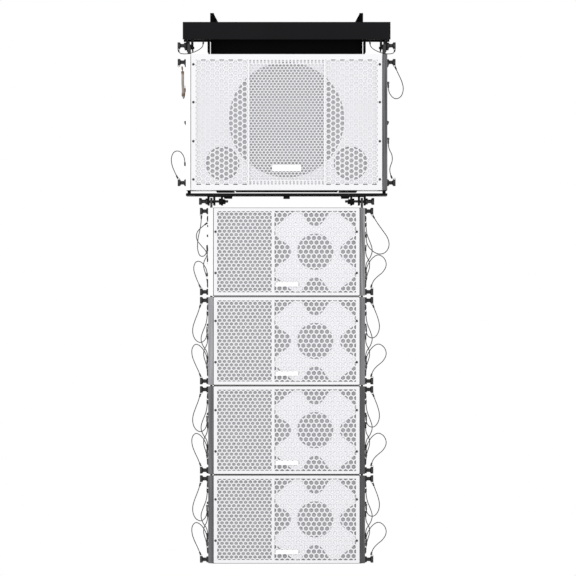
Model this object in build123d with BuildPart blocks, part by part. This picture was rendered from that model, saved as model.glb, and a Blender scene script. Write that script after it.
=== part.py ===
"""A flown line array: fly frame, bass cabinet, adapter frame and four wedge-sided two-way modules.

Millimetres. +Z is up, the grilles face -Y and +X is on the right from the front.
The origin is on the axis of the middle pickup hole, halfway between the two pickup rails.
"""
from build123d import *
from math import atan2, degrees, hypot, radians, tan
import os

os.makedirs("parts", exist_ok=True)

# ---------------------------------------------------------------- driving dimensions
SIDES = (-1, 1)                       # left and right of the array
FRONT = -290.0                        # every grille face stands in this plane

# fly frame
RAIL_TOP = 16.5
RAIL_IN, RAIL_OUT = 237.0, 249.0
RAIL_BACK = 210.0
PICKUP_R = 9.0
PICKUP_PITCH = 80.0
BAR_HALF, BAR_DEEP = 338.0, 40.0
BAR_TOP, BAR_BOTTOM = -13.4, -70.0
BAR_WALL = 3.0
BEAM_HALF, BEAM_BOTTOM, BEAM_DEEP = 247.0, -117.0, 30.0
EAR_HALF = 13.0                       # half width of every clevis ear
FLY_EARS = ((306.0, 311.0), (323.0, 328.0))
FLY_PIN_Z = -90.4

# bass cabinet
SUB_HALF, SUB_WALL = 312.5, 18.0
SUB_TOP, SUB_BOTTOM, SUB_BACK = -119.0, -561.0, 290.0
SUB_Z = (SUB_TOP + SUB_BOTTOM) / 2
SUB_PLATE = 327.5
SUB_PINS_Z = (-144.3, -536.6)
SUB_FRONT_PIN_Y, SUB_REAR_PIN_Y = -230.0, 200.0
SUB_LINK_X, SUB_LINK_T = 314.5, 8.0
SUB_DRIVER_Z, SUB_DRIVER_CUT = -332.0, 180.0
PORT_X, PORT_Z, PORT_R, PORT_WALL, PORT_LONG = 208.0, -474.0, 54.0, 4.0, 150.0
SUB_JACK_W, SUB_JACK_H = 240.0, 130.0

# adapter frame
ADAPTER_TOP, ADAPTER_BOTTOM = -571.0, -578.5
ADAPTER_FRONT, ADAPTER_BACK = -275.0, 225.0
ADAPTER_SIDE_W = 27.5
ADAPTER_MID = (15.0, 65.0)
ADAPTER_PIN_Z = -597.4
ADAPTER_EARS = ((208.0, 214.0), (233.0, 239.0), (252.0, 258.0))
ADAPTER_PIN_LONG = 68.0

# modules
MODULES = 4
MODULE_TOP, MODULE_HIGH, MODULE_GAP = -617.6, 287.0, 3.0
MODULE_BACK = 110.0
TAPER = tan(radians(4.0))             # each of the top and bottom faces falls 4 degrees to the rear
CABINET_HALF, CABINET_WALL = 239.0, 15.0
PLATE_OUT, PLATE_T = 255.0, 3.0
LINK_X, LINK_T, LINK_W = 242.5, 6.0, 25.0
TOP_PIN_DROP, BOTTOM_PIN_RISE = 11.5, 13.0
FRONT_PIN_Y, REAR_PIN_Y = -250.0, 40.0
WOOFER_X, WOOFER_CUT = 97.0, 113.0
HORN_X, HORN_HALF_W, HORN_HALF_H = -137.0, 89.0, 132.0
FIRST_SPLAY, SPLAY = 5.0, 8.0         # largest angles under the adapter and between modules

# fronts of both kinds of cabinet
GRILLE_T, GRILLE_DEEP = 1.5, 12.0
SEAT_GAP = 0.05                       # between a screw or badge and the sheet under it
SCREW_R, SCREW_HIGH = 4.0, 1.4
BADGE_T = 1.2
BAFFLE_FRONT, BAFFLE_T = -262.0, 15.0
FLANGE_T = 8.0
PHASE_T = 4.0

# quick-release pins and their wire lanyards
PIN_R, BORE_R = 4.0, 4.05
PIN_COLLAR_R, PIN_NECK_R, PIN_HEAD_R = 10.0, 6.0, 11.0
PIN_COLLAR, PIN_NECK, PIN_FLARE, PIN_OUT = 5.0, 16.0, 19.0, 27.0
PIN_LONG = 25.0
SLOT_W = 8.7                          # slot in a rear link, around a pin of 8
WIRE_R = 1.4
LUG = 8.0                             # square lug that a lanyard is crimped to
LUG_OUT = 7.0

# Lanyard routes as (outboard, back, up) from the pin's axis at the plate's face.
# Each starts at the rim of the pin's head and ends at a lug on the plate.
LEFT_TOP = [(25, 0, -13.5), (31, -4, -35), (42, -8, -62), (51, -11, -89), (50, -14, -113),
            (40, -16, -132), (23, -17, -139), (9, -17, -128), (3.5, -17, -110), (3.5, -17, -93)]
LEFT_BOTTOM = [(24, 0, 13.5), (33, 4, 36), (44, 8, 58), (53, 12, 82), (54, 15, 106),
               (42, 17, 122), (25, 18, 114), (11, 18, 95), (3.5, 18, 76), (3.5, 18, 56)]
RIGHT_TOP = [(25, 0, -13.5), (33, -5, -34), (42, -9, -57), (48, -12, -82), (44, -15, -106),
             (30, -17, -123), (13, -17, -121), (3.5, -17, -106), (3.5, -17, -90)]
RIGHT_BOTTOM = [(19, 0, 13.5), (24, 5, 32), (39, 9, 49), (59, 13, 64), (71, 16, 86), (65, 18, 109),
                (45, 19, 123), (26, 19, 113), (12, 19, 94), (3.5, 19, 74), (3.5, 19, 54)]
FIRST_LEFT_TOP = [(22, 0, -13.5), (23, -5, -38), (27, -9, -62), (33, -12, -86), (35, -14, -109),
                  (34, -16, -129), (27, -17, -147), (12, -17, -147), (3.5, -17, -130),
                  (3.5, -17, -110)]
FIRST_LEFT_BOTTOM = [(25, 0, 13.5), (34, 5, 33), (43, 9, 55), (49, 12, 79), (40, 15, 101),
                     (22, 17, 98), (10, 18, 82), (3.5, 18, 66), (3.5, 18, 50)]
FIRST_RIGHT_TOP = [(25, 0, -13.5), (38, -5, -36), (57, -9, -62), (75, -12, -87), (80, -15, -114),
                   (66, -17, -137), (42, -18, -141), (20, -18, -127), (8, -18, -111),
                   (3.5, -18, -93), (3.5, -18, -75)]
REAR_TOP = [(4.5, 0, -13.5), (5, 4, -33), (9, 8, -55), (19, 12, -78), (27, 15, -103),
            (20, 17, -126), (8, 18, -141), (3.5, 18, -156), (3.5, 18, -171)]
FIRST_REAR_TOP = [(4.5, 0, -13.5), (22, 5, -26), (40, 9, -44), (41, 12, -68), (25, 15, -88),
                  (9, 16, -105), (3.5, 16, -123), (3.5, 16, -141)]
REAR_BOTTOM = [(4.5, 0, 13.5), (9, -5, 34), (17, -9, 56), (16, -13, 77), (6, -16, 93),
               (3.5, -16, 108), (3.5, -16, 123)]
SUB_LEFT_TOP = [(13, 3, -13.5), (10, 1, -38), (11, -1, -64), (9, 2, -90), (10, 9, -112),
                (8, 24, -120), (3.5, 36, -106), (3.5, 36, -84)]
SUB_RIGHT_TOP = [(25, 0, -13.5), (35, 5, -36), (47, 9, -60), (54, 12, -87), (46, 15, -113),
                 (26, 17, -121), (10, 18, -107), (3.5, 18, -89), (3.5, 18, -71)]
SUB_LEFT_BOTTOM = [(26, 0, 13.5), (37, 5, 35), (46, 9, 57), (49, 12, 82), (39, 15, 103),
                   (20, 17, 104), (8, 18, 89), (3.5, 18, 72), (3.5, 18, 55)]
SUB_RIGHT_BOTTOM = [(16, 0, 13.5), (9, 5, 30), (8, 9, 50), (17, 13, 70), (16, 16, 92),
                    (7, 19, 107), (3.5, 20, 123), (3.5, 20, 139)]
FLY_LANYARD = [(24, -2, -13.5), (23, -17, -24), (7, -32, -28), (-15, -37, -26), (-38, -33, -17),
               (-52, -20, -7), (-57, -9, 3), (-57, -9, 16.6)]


# ---------------------------------------------------------------- planes and shared outlines
def yz_plane(x):
    """The plane at x whose sketch axes are Y and Z."""
    return Plane(origin=(x, 0, 0), x_dir=(0, 1, 0), z_dir=(1, 0, 0))


def front_plane(y, z=0.0):
    """The plane at y that faces the audience, its sketch axes X and Z."""
    return Plane(origin=(0, y, z), x_dir=(1, 0, 0), z_dir=(0, -1, 0))


def wedge(z, front, back, inset=0.0):
    """Side outline of a module centred at z, between two depths."""
    half_front = MODULE_HIGH / 2 - (front - FRONT) * TAPER - inset
    half_back = MODULE_HIGH / 2 - (back - FRONT) * TAPER - inset
    return [(front, z + half_front), (back, z + half_back),
            (back, z - half_back), (front, z - half_front)]


def module_z(number):
    """Height of a module's centre; module 1 is the highest."""
    return MODULE_TOP - MODULE_HIGH / 2 - (number - 1) * (MODULE_HIGH + MODULE_GAP)


def module_pins(number):
    """The (y, z) of a module's four pins: top front, bottom front, top rear, bottom rear."""
    top = module_z(number) + MODULE_HIGH / 2 - TOP_PIN_DROP
    bottom = module_z(number) - MODULE_HIGH / 2 + BOTTOM_PIN_RISE
    fall = (REAR_PIN_Y - FRONT) * TAPER
    return [(FRONT_PIN_Y, top), (FRONT_PIN_Y, bottom),
            (REAR_PIN_Y, top - fall), (REAR_PIN_Y, bottom + fall)]


def arc_radii(points):
    """Bend radius at each inner point: 0.45 of the shorter run over the tangent of half the turn."""
    radii = []
    for before, here, after in zip(points, points[1:], points[2:]):
        run_in = Vector(*here) - Vector(*before)
        run_out = Vector(*after) - Vector(*here)
        half_turn = radians(run_in.get_angle(run_out)) / 2
        radii.append(0.45 * min(run_in.length, run_out.length) / tan(half_turn))
    return radii


def channel(cabinet_half, plate_out, back):
    """Plan outline of a right-hand side tray: canted front flange, outer plate, rear flange."""
    cant = plate_out - cabinet_half
    inner = plate_out - PLATE_T
    return [(cabinet_half, FRONT), (plate_out, FRONT + cant), (plate_out, back),
            (cabinet_half, back), (cabinet_half, back - PLATE_T), (inner, back - PLATE_T),
            (inner, FRONT + cant + 1.3), (cabinet_half, FRONT + 4.3)]


def lug_place(route):
    """Middle of the lug that a route ends at, as (back, up) from the pin."""
    step = LUG / 2 if route[-1][2] > route[-2][2] else -LUG / 2
    return route[-1][1], route[-1][2] + step


def pin_outline(long):
    """Half section of a quick-release pin as (outboard, radius), its shaft reaching inwards."""
    return [(-long, 0), (-long, PIN_R), (0, PIN_R), (0, PIN_COLLAR_R),
            (PIN_COLLAR, PIN_COLLAR_R), (PIN_COLLAR + 2, PIN_NECK_R), (PIN_NECK, PIN_NECK_R),
            (PIN_FLARE, PIN_HEAD_R), (PIN_OUT, PIN_HEAD_R), (PIN_OUT, 0)]


def button_outline(long):
    """Half section of a rear pin: the same shaft under a low button head."""
    return [(-long, 0), (-long, PIN_R), (0, PIN_R), (0, PIN_COLLAR_R), (4, PIN_COLLAR_R),
            (6, PIN_NECK_R), (6, 0)]


def driver_frame_outline(cut):
    """Half section of a basket and magnet as (radius, depth behind the flange's front)."""
    return [(cut - 9, 0), (cut + 12, 0), (cut + 12, FLANGE_T), (cut - 0.5, FLANGE_T),
            (cut - 2, FLANGE_T + 8), (0.66 * cut, 0.55 * cut + FLANGE_T),
            (0.66 * cut, 0.92 * cut), (0, 0.92 * cut), (0, 0.66 * cut + FLANGE_T),
            (0.58 * cut, 0.66 * cut + FLANGE_T), (0.58 * cut, 0.55 * cut + FLANGE_T),
            (cut - 11, FLANGE_T + 8)]


def cone_outline(cut):
    """Half section of a cone, its dust cap and its coil former, as (radius, depth)."""
    return [(0, 0.3 * cut), (0.18 * cut, 0.33 * cut), (0.27 * cut, 0.4 * cut),
            (cut - 22, 6), (cut - 12, 6), (cut - 12, 9), (cut - 20, 9), (0.27 * cut, 0.46 * cut),
            (0.22 * cut, 0.46 * cut), (0.22 * cut, 0.6 * cut), (0, 0.6 * cut)]


def rest_arc(number):
    """Centre, radius and rest angle of the path of a module's top rear pin about its hinge."""
    hinge, rear = module_pins(number)[0], module_pins(number)[2]
    reach, drop = rear[0] - hinge[0], rear[1] - hinge[1]
    return hinge, hypot(reach, drop), degrees(atan2(drop, reach))


# ---------------------------------------------------------------- fly frame
with BuildPart() as fly_frame:
    for bar_y in (-RAIL_BACK - BAR_DEEP / 2, RAIL_BACK + BAR_DEEP / 2):
        bar_z = (BAR_TOP + BAR_BOTTOM) / 2
        bar_high = BAR_TOP - BAR_BOTTOM
        with Locations((0, bar_y, bar_z)):
            Box(2 * BAR_HALF, BAR_DEEP, bar_high)
            Box(2 * (BAR_HALF - BAR_WALL), BAR_DEEP - 2 * BAR_WALL, bar_high - 2 * BAR_WALL,
                mode=Mode.SUBTRACT)
    for side in SIDES:
        for ear_in, ear_out in FLY_EARS:
            start = min(side * ear_in, side * ear_out)
            with BuildSketch(yz_plane(start)):
                with Locations((0, (BAR_TOP + BAR_BOTTOM) / 2)):
                    Rectangle(2 * RAIL_BACK, BAR_TOP - BAR_BOTTOM)
                for pin_y in (SUB_FRONT_PIN_Y, SUB_REAR_PIN_Y):
                    with Locations((pin_y, (BAR_BOTTOM + FLY_PIN_Z) / 2)):
                        Rectangle(2 * EAR_HALF, BAR_BOTTOM - FLY_PIN_Z)
                    with Locations((pin_y, FLY_PIN_Z)):
                        Circle(EAR_HALF)
                        Circle(BORE_R, mode=Mode.SUBTRACT)
            extrude(amount=ear_out - ear_in)
fly_frame.part.label = "fly_frame"
export_step(fly_frame.part, "parts/fly_frame.step")

with BuildPart() as pickup_rails:
    for side in SIDES:
        start = min(side * RAIL_IN, side * RAIL_OUT)
        with BuildSketch(yz_plane(start)):
            with Locations((0, (RAIL_TOP + BAR_BOTTOM) / 2)):
                RectangleRounded(2 * RAIL_BACK, RAIL_TOP - BAR_BOTTOM, 6)
            with Locations(*[(step * PICKUP_PITCH, 0) for step in range(-2, 3)]):
                Circle(PICKUP_R, mode=Mode.SUBTRACT)
        extrude(amount=RAIL_OUT - RAIL_IN)
        for gusset_y in (-RAIL_BACK + 16, RAIL_BACK - 10):
            with BuildSketch(front_plane(gusset_y)):
                with BuildLine():
                    Polyline((side * RAIL_IN, RAIL_TOP - 3), (side * 222.5, BAR_TOP),
                             (side * 205, BAR_BOTTOM), (side * RAIL_IN, BAR_BOTTOM), close=True)
                make_face()
            extrude(amount=6)
    for beam_y in (-RAIL_BACK + BEAM_DEEP / 2 + 6, RAIL_BACK - BEAM_DEEP / 2 - 6):
        with Locations((0, beam_y, (BAR_BOTTOM + BEAM_BOTTOM) / 2)):
            Box(2 * BEAM_HALF, BEAM_DEEP, BAR_BOTTOM - BEAM_BOTTOM)
        with Locations((0, beam_y, (BAR_BOTTOM + BEAM_BOTTOM) / 2 - 4)):
            Box(2 * BEAM_HALF - 8, BEAM_DEEP - 8, BAR_BOTTOM - BEAM_BOTTOM, mode=Mode.SUBTRACT)
pickup_rails.part.label = "pickup_rails"
export_step(pickup_rails.part, "parts/pickup_rails.step")

with BuildPart() as fly_links:
    link_long = FLY_PIN_Z - SUB_PINS_Z[0]
    for side in SIDES:
        start = min(side * SUB_LINK_X, side * (SUB_LINK_X + SUB_LINK_T))
        for pin_y in (SUB_FRONT_PIN_Y, SUB_REAR_PIN_Y):
            with BuildSketch(yz_plane(start)):
                with Locations((pin_y, (FLY_PIN_Z + SUB_PINS_Z[0]) / 2)):
                    SlotCenterToCenter(link_long, 2 * EAR_HALF - 2, rotation=90)
                with Locations((pin_y, FLY_PIN_Z), (pin_y, SUB_PINS_Z[0])):
                    Circle(BORE_R, mode=Mode.SUBTRACT)
            extrude(amount=SUB_LINK_T)


# ---------------------------------------------------------------- bass cabinet
def sub_bore_places():
    """The (y, z) of the bass cabinet's pins, front and rear."""
    return [(y, z) for y in (SUB_FRONT_PIN_Y, SUB_REAR_PIN_Y) for z in SUB_PINS_Z]


with BuildPart() as sub_cabinet:
    sub_front = FRONT + GRILLE_DEEP
    with BuildSketch(front_plane(sub_front, SUB_Z)):
        Rectangle(2 * SUB_HALF, SUB_TOP - SUB_BOTTOM)
    extrude(amount=-(SUB_BACK - sub_front))
    with BuildSketch(front_plane(sub_front, SUB_Z)):
        Rectangle(2 * (SUB_HALF - SUB_WALL), SUB_TOP - SUB_BOTTOM - 2 * SUB_WALL)
    extrude(amount=-(SUB_BACK - sub_front - SUB_WALL), mode=Mode.SUBTRACT)
    with BuildSketch(front_plane(SUB_BACK, SUB_Z)):
        Rectangle(SUB_JACK_W, SUB_JACK_H)
    extrude(amount=SUB_WALL, mode=Mode.SUBTRACT)
    for start in (SUB_HALF - 10.5, -SUB_HALF):
        with BuildSketch(yz_plane(start)):
            with Locations(*sub_bore_places()):
                Circle(BORE_R)
        extrude(amount=10.5, mode=Mode.SUBTRACT)
sub_cabinet.part.label = "sub_cabinet"
export_step(sub_cabinet.part, "parts/sub_cabinet.step")

with BuildPart() as sub_jack_plate:
    with BuildSketch(front_plane(SUB_BACK - SUB_WALL, SUB_Z)):
        Rectangle(SUB_JACK_W, SUB_JACK_H)
    extrude(amount=-3)
    with BuildSketch(front_plane(SUB_BACK - SUB_WALL + 3, SUB_Z)):
        Rectangle(SUB_JACK_W, SUB_JACK_H)
        Rectangle(SUB_JACK_W - 5, SUB_JACK_H - 5, mode=Mode.SUBTRACT)
    extrude(amount=-(SUB_WALL - 3))
    for jack_x in (-60, 0, 60):
        with BuildSketch(front_plane(SUB_BACK - SUB_WALL + 3, SUB_Z)):
            with Locations((jack_x, 0)):
                Circle(14)
        extrude(amount=-5)
sub_jack_plate.part.label = "sub_jack_plate"
export_step(sub_jack_plate.part, "parts/sub_jack_plate.step")

with BuildPart() as sub_baffle:
    with BuildSketch(front_plane(BAFFLE_FRONT, SUB_Z)):
        Rectangle(2 * (SUB_HALF - SUB_WALL), SUB_TOP - SUB_BOTTOM - 2 * SUB_WALL)
        with Locations((0, SUB_DRIVER_Z - SUB_Z)):
            Circle(SUB_DRIVER_CUT, mode=Mode.SUBTRACT)
    extrude(amount=-BAFFLE_T)
    with BuildSketch(front_plane(BAFFLE_FRONT)):
        with Locations((-PORT_X, PORT_Z), (PORT_X, PORT_Z)):
            Circle(PORT_R + PORT_WALL)
    extrude(amount=-PORT_LONG)
    with BuildSketch(front_plane(BAFFLE_FRONT)):
        with Locations((-PORT_X, PORT_Z), (PORT_X, PORT_Z)):
            Circle(PORT_R)
    extrude(amount=-PORT_LONG, mode=Mode.SUBTRACT)
sub_baffle.part.label = "sub_baffle"
export_step(sub_baffle.part, "parts/sub_baffle.step")


def make_driver_frame(name, x, z, cut):
    """Write a basket and magnet whose flange stands on the front of a baffle."""
    with BuildPart() as driver_frame:
        plane = Plane(origin=(x, BAFFLE_FRONT - FLANGE_T, z), x_dir=(1, 0, 0), z_dir=(0, 0, 1))
        with BuildSketch(plane):
            with BuildLine():
                Polyline(*driver_frame_outline(cut), close=True)
            make_face()
        revolve(axis=Axis((x, 0, z), (0, 1, 0)))
    driver_frame.part.label = name
    export_step(driver_frame.part, f"parts/{name}.step")


def make_cone(name, x, z, cut):
    """Write the moving cone of a driver, clear of its basket all round."""
    with BuildPart() as cone:
        plane = Plane(origin=(x, BAFFLE_FRONT - FLANGE_T, z), x_dir=(1, 0, 0), z_dir=(0, 0, 1))
        with BuildSketch(plane):
            with BuildLine():
                Polyline(*cone_outline(cut), close=True)
            make_face()
        revolve(axis=Axis((x, 0, z), (0, 1, 0)))
    cone.part.label = name
    export_step(cone.part, f"parts/{name}.step")


def make_grille(name, z, half_wide, half_high, screws, badge):
    """Write a folded grille sheet with its screws, and its blank badge as (x, z, wide, high)."""
    with BuildPart() as grille:
        with BuildSketch(front_plane(FRONT, z)):
            Rectangle(2 * half_wide, 2 * half_high)
        extrude(amount=-GRILLE_DEEP)
        with BuildSketch(front_plane(FRONT + GRILLE_T, z)):
            Rectangle(2 * (half_wide - GRILLE_T), 2 * (half_high - GRILLE_T))
        extrude(amount=-GRILLE_DEEP, mode=Mode.SUBTRACT)
        with BuildSketch(front_plane(FRONT - SEAT_GAP, z)):
            with Locations(*screws):
                Circle(SCREW_R)
        extrude(amount=SCREW_HIGH)
        badge_x, badge_z, badge_wide, badge_high = badge
        with BuildSketch(front_plane(FRONT - SEAT_GAP, z)):
            with Locations((badge_x, badge_z)):
                Rectangle(badge_wide, badge_high)
        extrude(amount=BADGE_T)
    grille.part.label = name
    export_step(grille.part, f"parts/{name}.step")


make_driver_frame("sub_woofer", 0, SUB_DRIVER_Z, SUB_DRIVER_CUT)
make_cone("sub_cone", 0, SUB_DRIVER_Z, SUB_DRIVER_CUT)
make_grille("sub_grille", SUB_Z, SUB_HALF - 2, (SUB_TOP - SUB_BOTTOM) / 2,
            [(side * 303, row) for side in SIDES for row in (188, 65, -62, -186)],
            (0, -149, 94, 21))

with BuildPart() as sub_side_plates:
    sub_high = SUB_TOP - SUB_BOTTOM
    for side in SIDES:
        with BuildSketch(Plane.XY.offset(SUB_BOTTOM)):
            with BuildLine():
                Polyline(*[(side * x, y) for x, y in channel(SUB_HALF, SUB_PLATE, SUB_BACK)],
                         close=True)
            make_face()
        extrude(amount=sub_high)
    with BuildSketch(yz_plane(-SUB_PLATE)):
        with Locations(*sub_bore_places()):
            Circle(BORE_R)
    extrude(amount=2 * SUB_PLATE, mode=Mode.SUBTRACT)
    for side, pin_z, route in ((-1, SUB_PINS_Z[0], SUB_LEFT_TOP), (1, SUB_PINS_Z[0], SUB_RIGHT_TOP),
                               (-1, SUB_PINS_Z[1], SUB_LEFT_BOTTOM),
                               (1, SUB_PINS_Z[1], SUB_RIGHT_BOTTOM)):
        back, up = lug_place(route)
        with Locations((side * (SUB_PLATE + LUG_OUT / 2), SUB_FRONT_PIN_Y + back, pin_z + up)):
            Box(LUG_OUT, LUG, LUG)
sub_side_plates.part.label = "sub_side_plates"
export_step(sub_side_plates.part, "parts/sub_side_plates.step")

# ---------------------------------------------------------------- adapter frame
with BuildPart() as adapter_frame:
    adapter_t = ADAPTER_TOP - ADAPTER_BOTTOM
    with BuildSketch(Plane.XY.offset(ADAPTER_BOTTOM)):
        with Locations((0, (ADAPTER_FRONT + ADAPTER_BACK) / 2)):
            Rectangle(2 * SUB_PLATE, ADAPTER_BACK - ADAPTER_FRONT)
        open_half = SUB_PLATE - ADAPTER_SIDE_W
        for gap_front, gap_back in ((ADAPTER_FRONT + 50, ADAPTER_MID[0]),
                                    (ADAPTER_MID[1], ADAPTER_BACK - 40)):
            with Locations((0, (gap_front + gap_back) / 2)):
                Rectangle(2 * open_half, gap_back - gap_front, mode=Mode.SUBTRACT)
    extrude(amount=adapter_t)
    for side in SIDES:
        with BuildSketch(yz_plane(min(side * SUB_LINK_X, side * (SUB_LINK_X + SUB_LINK_T)))):
            for pin_y in (SUB_FRONT_PIN_Y, SUB_REAR_PIN_Y):
                with Locations((pin_y, (ADAPTER_TOP + SUB_PINS_Z[1]) / 2)):
                    Rectangle(2 * EAR_HALF - 2, SUB_PINS_Z[1] - ADAPTER_TOP)
                with Locations((pin_y, SUB_PINS_Z[1])):
                    Circle(EAR_HALF - 1)
                    Circle(BORE_R, mode=Mode.SUBTRACT)
        extrude(amount=SUB_LINK_T)
    with Locations((0, FRONT_PIN_Y, ADAPTER_BOTTOM - 5.5)):
        Box(21, 24, 11)
adapter_frame.part.label = "adapter_frame"
export_step(adapter_frame.part, "parts/adapter_frame.step")

with BuildPart() as adapter_ears:
    for side in SIDES:
        for ear_in, ear_out in ADAPTER_EARS:
            with BuildSketch(yz_plane(min(side * ear_in, side * ear_out))):
                for pin_y in (FRONT_PIN_Y, REAR_PIN_Y):
                    with Locations((pin_y, (ADAPTER_BOTTOM + ADAPTER_PIN_Z) / 2)):
                        Rectangle(2 * EAR_HALF - 2, ADAPTER_BOTTOM - ADAPTER_PIN_Z)
                    with Locations((pin_y, ADAPTER_PIN_Z)):
                        Circle(EAR_HALF - 1)
                        Circle(BORE_R, mode=Mode.SUBTRACT)
            extrude(amount=ear_out - ear_in)
        for pad_y in (FRONT_PIN_Y, REAR_PIN_Y):
            with Locations((side * 217.5, pad_y, ADAPTER_BOTTOM - 1.5)):
                Box(81, 50, 3)
adapter_ears.part.label = "adapter_ears"
export_step(adapter_ears.part, "parts/adapter_ears.step")


# ---------------------------------------------------------------- links between units
def make_links(name, upper_z, upper_rear_z, number, splay):
    """The four links that carry a module from the unit above it."""
    hinge, radius, rest_angle = rest_arc(number)
    rear = module_pins(number)[2]
    with BuildPart() as links:
        for side in SIDES:
            start = min(side * LINK_X, side * (LINK_X + LINK_T))
            with BuildSketch(yz_plane(start)):
                with Locations((FRONT_PIN_Y, (upper_z + hinge[1]) / 2)):
                    SlotCenterToCenter(upper_z - hinge[1], LINK_W - 2, rotation=90)
                with Locations((FRONT_PIN_Y, upper_z), hinge):
                    Circle(BORE_R, mode=Mode.SUBTRACT)
            extrude(amount=LINK_T)
            with BuildSketch(yz_plane(start)):
                with Locations((REAR_PIN_Y, (upper_rear_z + rear[1]) / 2)):
                    SlotCenterToCenter(upper_rear_z - rear[1], LINK_W, rotation=90)
                with Locations((REAR_PIN_Y, upper_rear_z)):
                    Circle(BORE_R, mode=Mode.SUBTRACT)
                with BuildLine(mode=Mode.PRIVATE) as pin_path:
                    CenterArc(hinge, radius, rest_angle, splay)
                SlotArc(pin_path.edges()[0], SLOT_W, mode=Mode.SUBTRACT)
            extrude(amount=LINK_T)
    links.part.label = name
    return links.part


def make_stowed_links(name, number):
    """Write the lowest module's own links, swung up inside its side trays."""
    front, rear = module_pins(number)[1], module_pins(number)[3]
    front_long = MODULE_GAP + TOP_PIN_DROP + BOTTOM_PIN_RISE
    rear_long = front_long + 2 * (REAR_PIN_Y - FRONT) * TAPER
    with BuildPart() as links:
        for side in SIDES:
            start = min(side * LINK_X, side * (LINK_X + LINK_T))
            with BuildSketch(yz_plane(start)):
                with Locations((front[0], front[1] + front_long / 2)):
                    SlotCenterToCenter(front_long, LINK_W - 2, rotation=90)
                with Locations(front, (front[0], front[1] + front_long)):
                    Circle(BORE_R, mode=Mode.SUBTRACT)
            extrude(amount=LINK_T)
            with BuildSketch(yz_plane(start)):
                with Locations((rear[0], rear[1] + rear_long / 2)):
                    SlotCenterToCenter(rear_long, LINK_W, rotation=90)
                with Locations(rear):
                    Circle(BORE_R, mode=Mode.SUBTRACT)
                with Locations((rear[0], rear[1] + rear_long - 20)):
                    SlotCenterToCenter(40, SLOT_W, rotation=90, mode=Mode.SUBTRACT)
            extrude(amount=LINK_T)
    links.part.label = name
    export_step(links.part, f"parts/{name}.step")


adapter_links = make_links("adapter_links", ADAPTER_PIN_Z, ADAPTER_PIN_Z, 1, FIRST_SPLAY)
head_links = Compound(label="head_links", children=fly_links.part.solids() + adapter_links.solids())
export_step(head_links, "parts/head_links.step")
for upper in range(1, MODULES):
    links = make_links(f"module_{upper}_links", module_pins(upper)[1][1],
                       module_pins(upper)[3][1], upper + 1, SPLAY)
    export_step(links, f"parts/module_{upper}_links.step")
make_stowed_links(f"module_{MODULES}_links", MODULES)


# ---------------------------------------------------------------- pins, bolts and lanyards
def make_pins(name, side, places):
    """Write quick-release pins; each place is (plate face, y, z, shaft length, outline)."""
    with BuildPart() as pins:
        for face, y, z, long, outline in places:
            plane = Plane(origin=(side * face, y, z), x_dir=(side, 0, 0), z_dir=(0, -1, 0))
            with BuildSketch(plane):
                with BuildLine():
                    Polyline(*outline(long), close=True)
                make_face()
            revolve(axis=Axis((side * face, y, z), (1, 0, 0)))
    pins.part.label = name
    export_step(pins.part, f"parts/{name}.step")


def make_lanyards(name, runs):
    """Write wire lanyards; each run is (side, plate face, pin y, pin z, route)."""
    with BuildPart() as lanyards:
        for side, face, y, z, route in runs:
            points = [(side * (face + out), y + back, z + up) for out, back, up in route]
            radii = arc_radii(points)
            with BuildLine():
                path = FilletPolyline(*points, radius=radii)
            with BuildSketch(Plane(origin=path @ 0, z_dir=path % 0)):
                Circle(WIRE_R)
            sweep()
            print(name, "length", round(path.length, 1), "radii",
                  [round(radius, 1) for radius in radii])
    lanyards.part.label = name
    export_step(lanyards.part, f"parts/{name}.step")


for side, side_name in ((-1, "left"), (1, "right")):
    make_pins(f"head_{side_name}_pins", side,
              [(FLY_EARS[1][1], SUB_FRONT_PIN_Y, FLY_PIN_Z, PIN_LONG, pin_outline)]
              + [(SUB_PLATE, SUB_FRONT_PIN_Y, z, PIN_LONG, pin_outline) for z in SUB_PINS_Z]
              + [(ADAPTER_EARS[2][1], FRONT_PIN_Y, ADAPTER_PIN_Z, ADAPTER_PIN_LONG,
                  pin_outline)])

with BuildPart() as rear_bolts:
    bolt_places = [(FLY_EARS[1][1], SUB_REAR_PIN_Y, FLY_PIN_Z)]
    bolt_places += [(SUB_PLATE, SUB_REAR_PIN_Y, z) for z in SUB_PINS_Z]
    bolt_places += [(ADAPTER_EARS[2][1], REAR_PIN_Y, ADAPTER_PIN_Z)]
    for side in SIDES:
        for face, y, z in bolt_places:
            with BuildSketch(Plane(origin=(side * face, y, z), x_dir=(0, 1, 0), z_dir=(side, 0, 0))):
                RegularPolygon(9, 6)
            extrude(amount=7)
            with BuildSketch(Plane(origin=(side * face, y, z), x_dir=(0, 1, 0), z_dir=(side, 0, 0))):
                Circle(PIN_R)
            extrude(amount=-PIN_LONG)
rear_bolts.part.label = "rear_bolts"
export_step(rear_bolts.part, "parts/rear_bolts.step")

make_lanyards("head_lanyards", [
    (-1, FLY_EARS[1][1], SUB_FRONT_PIN_Y, FLY_PIN_Z, FLY_LANYARD),
    (1, FLY_EARS[1][1], SUB_FRONT_PIN_Y, FLY_PIN_Z, FLY_LANYARD),
    (-1, SUB_PLATE, SUB_FRONT_PIN_Y, SUB_PINS_Z[0], SUB_LEFT_TOP),
    (1, SUB_PLATE, SUB_FRONT_PIN_Y, SUB_PINS_Z[0], SUB_RIGHT_TOP),
    (-1, SUB_PLATE, SUB_FRONT_PIN_Y, SUB_PINS_Z[1], SUB_LEFT_BOTTOM),
    (1, SUB_PLATE, SUB_FRONT_PIN_Y, SUB_PINS_Z[1], SUB_RIGHT_BOTTOM),
])


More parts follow.
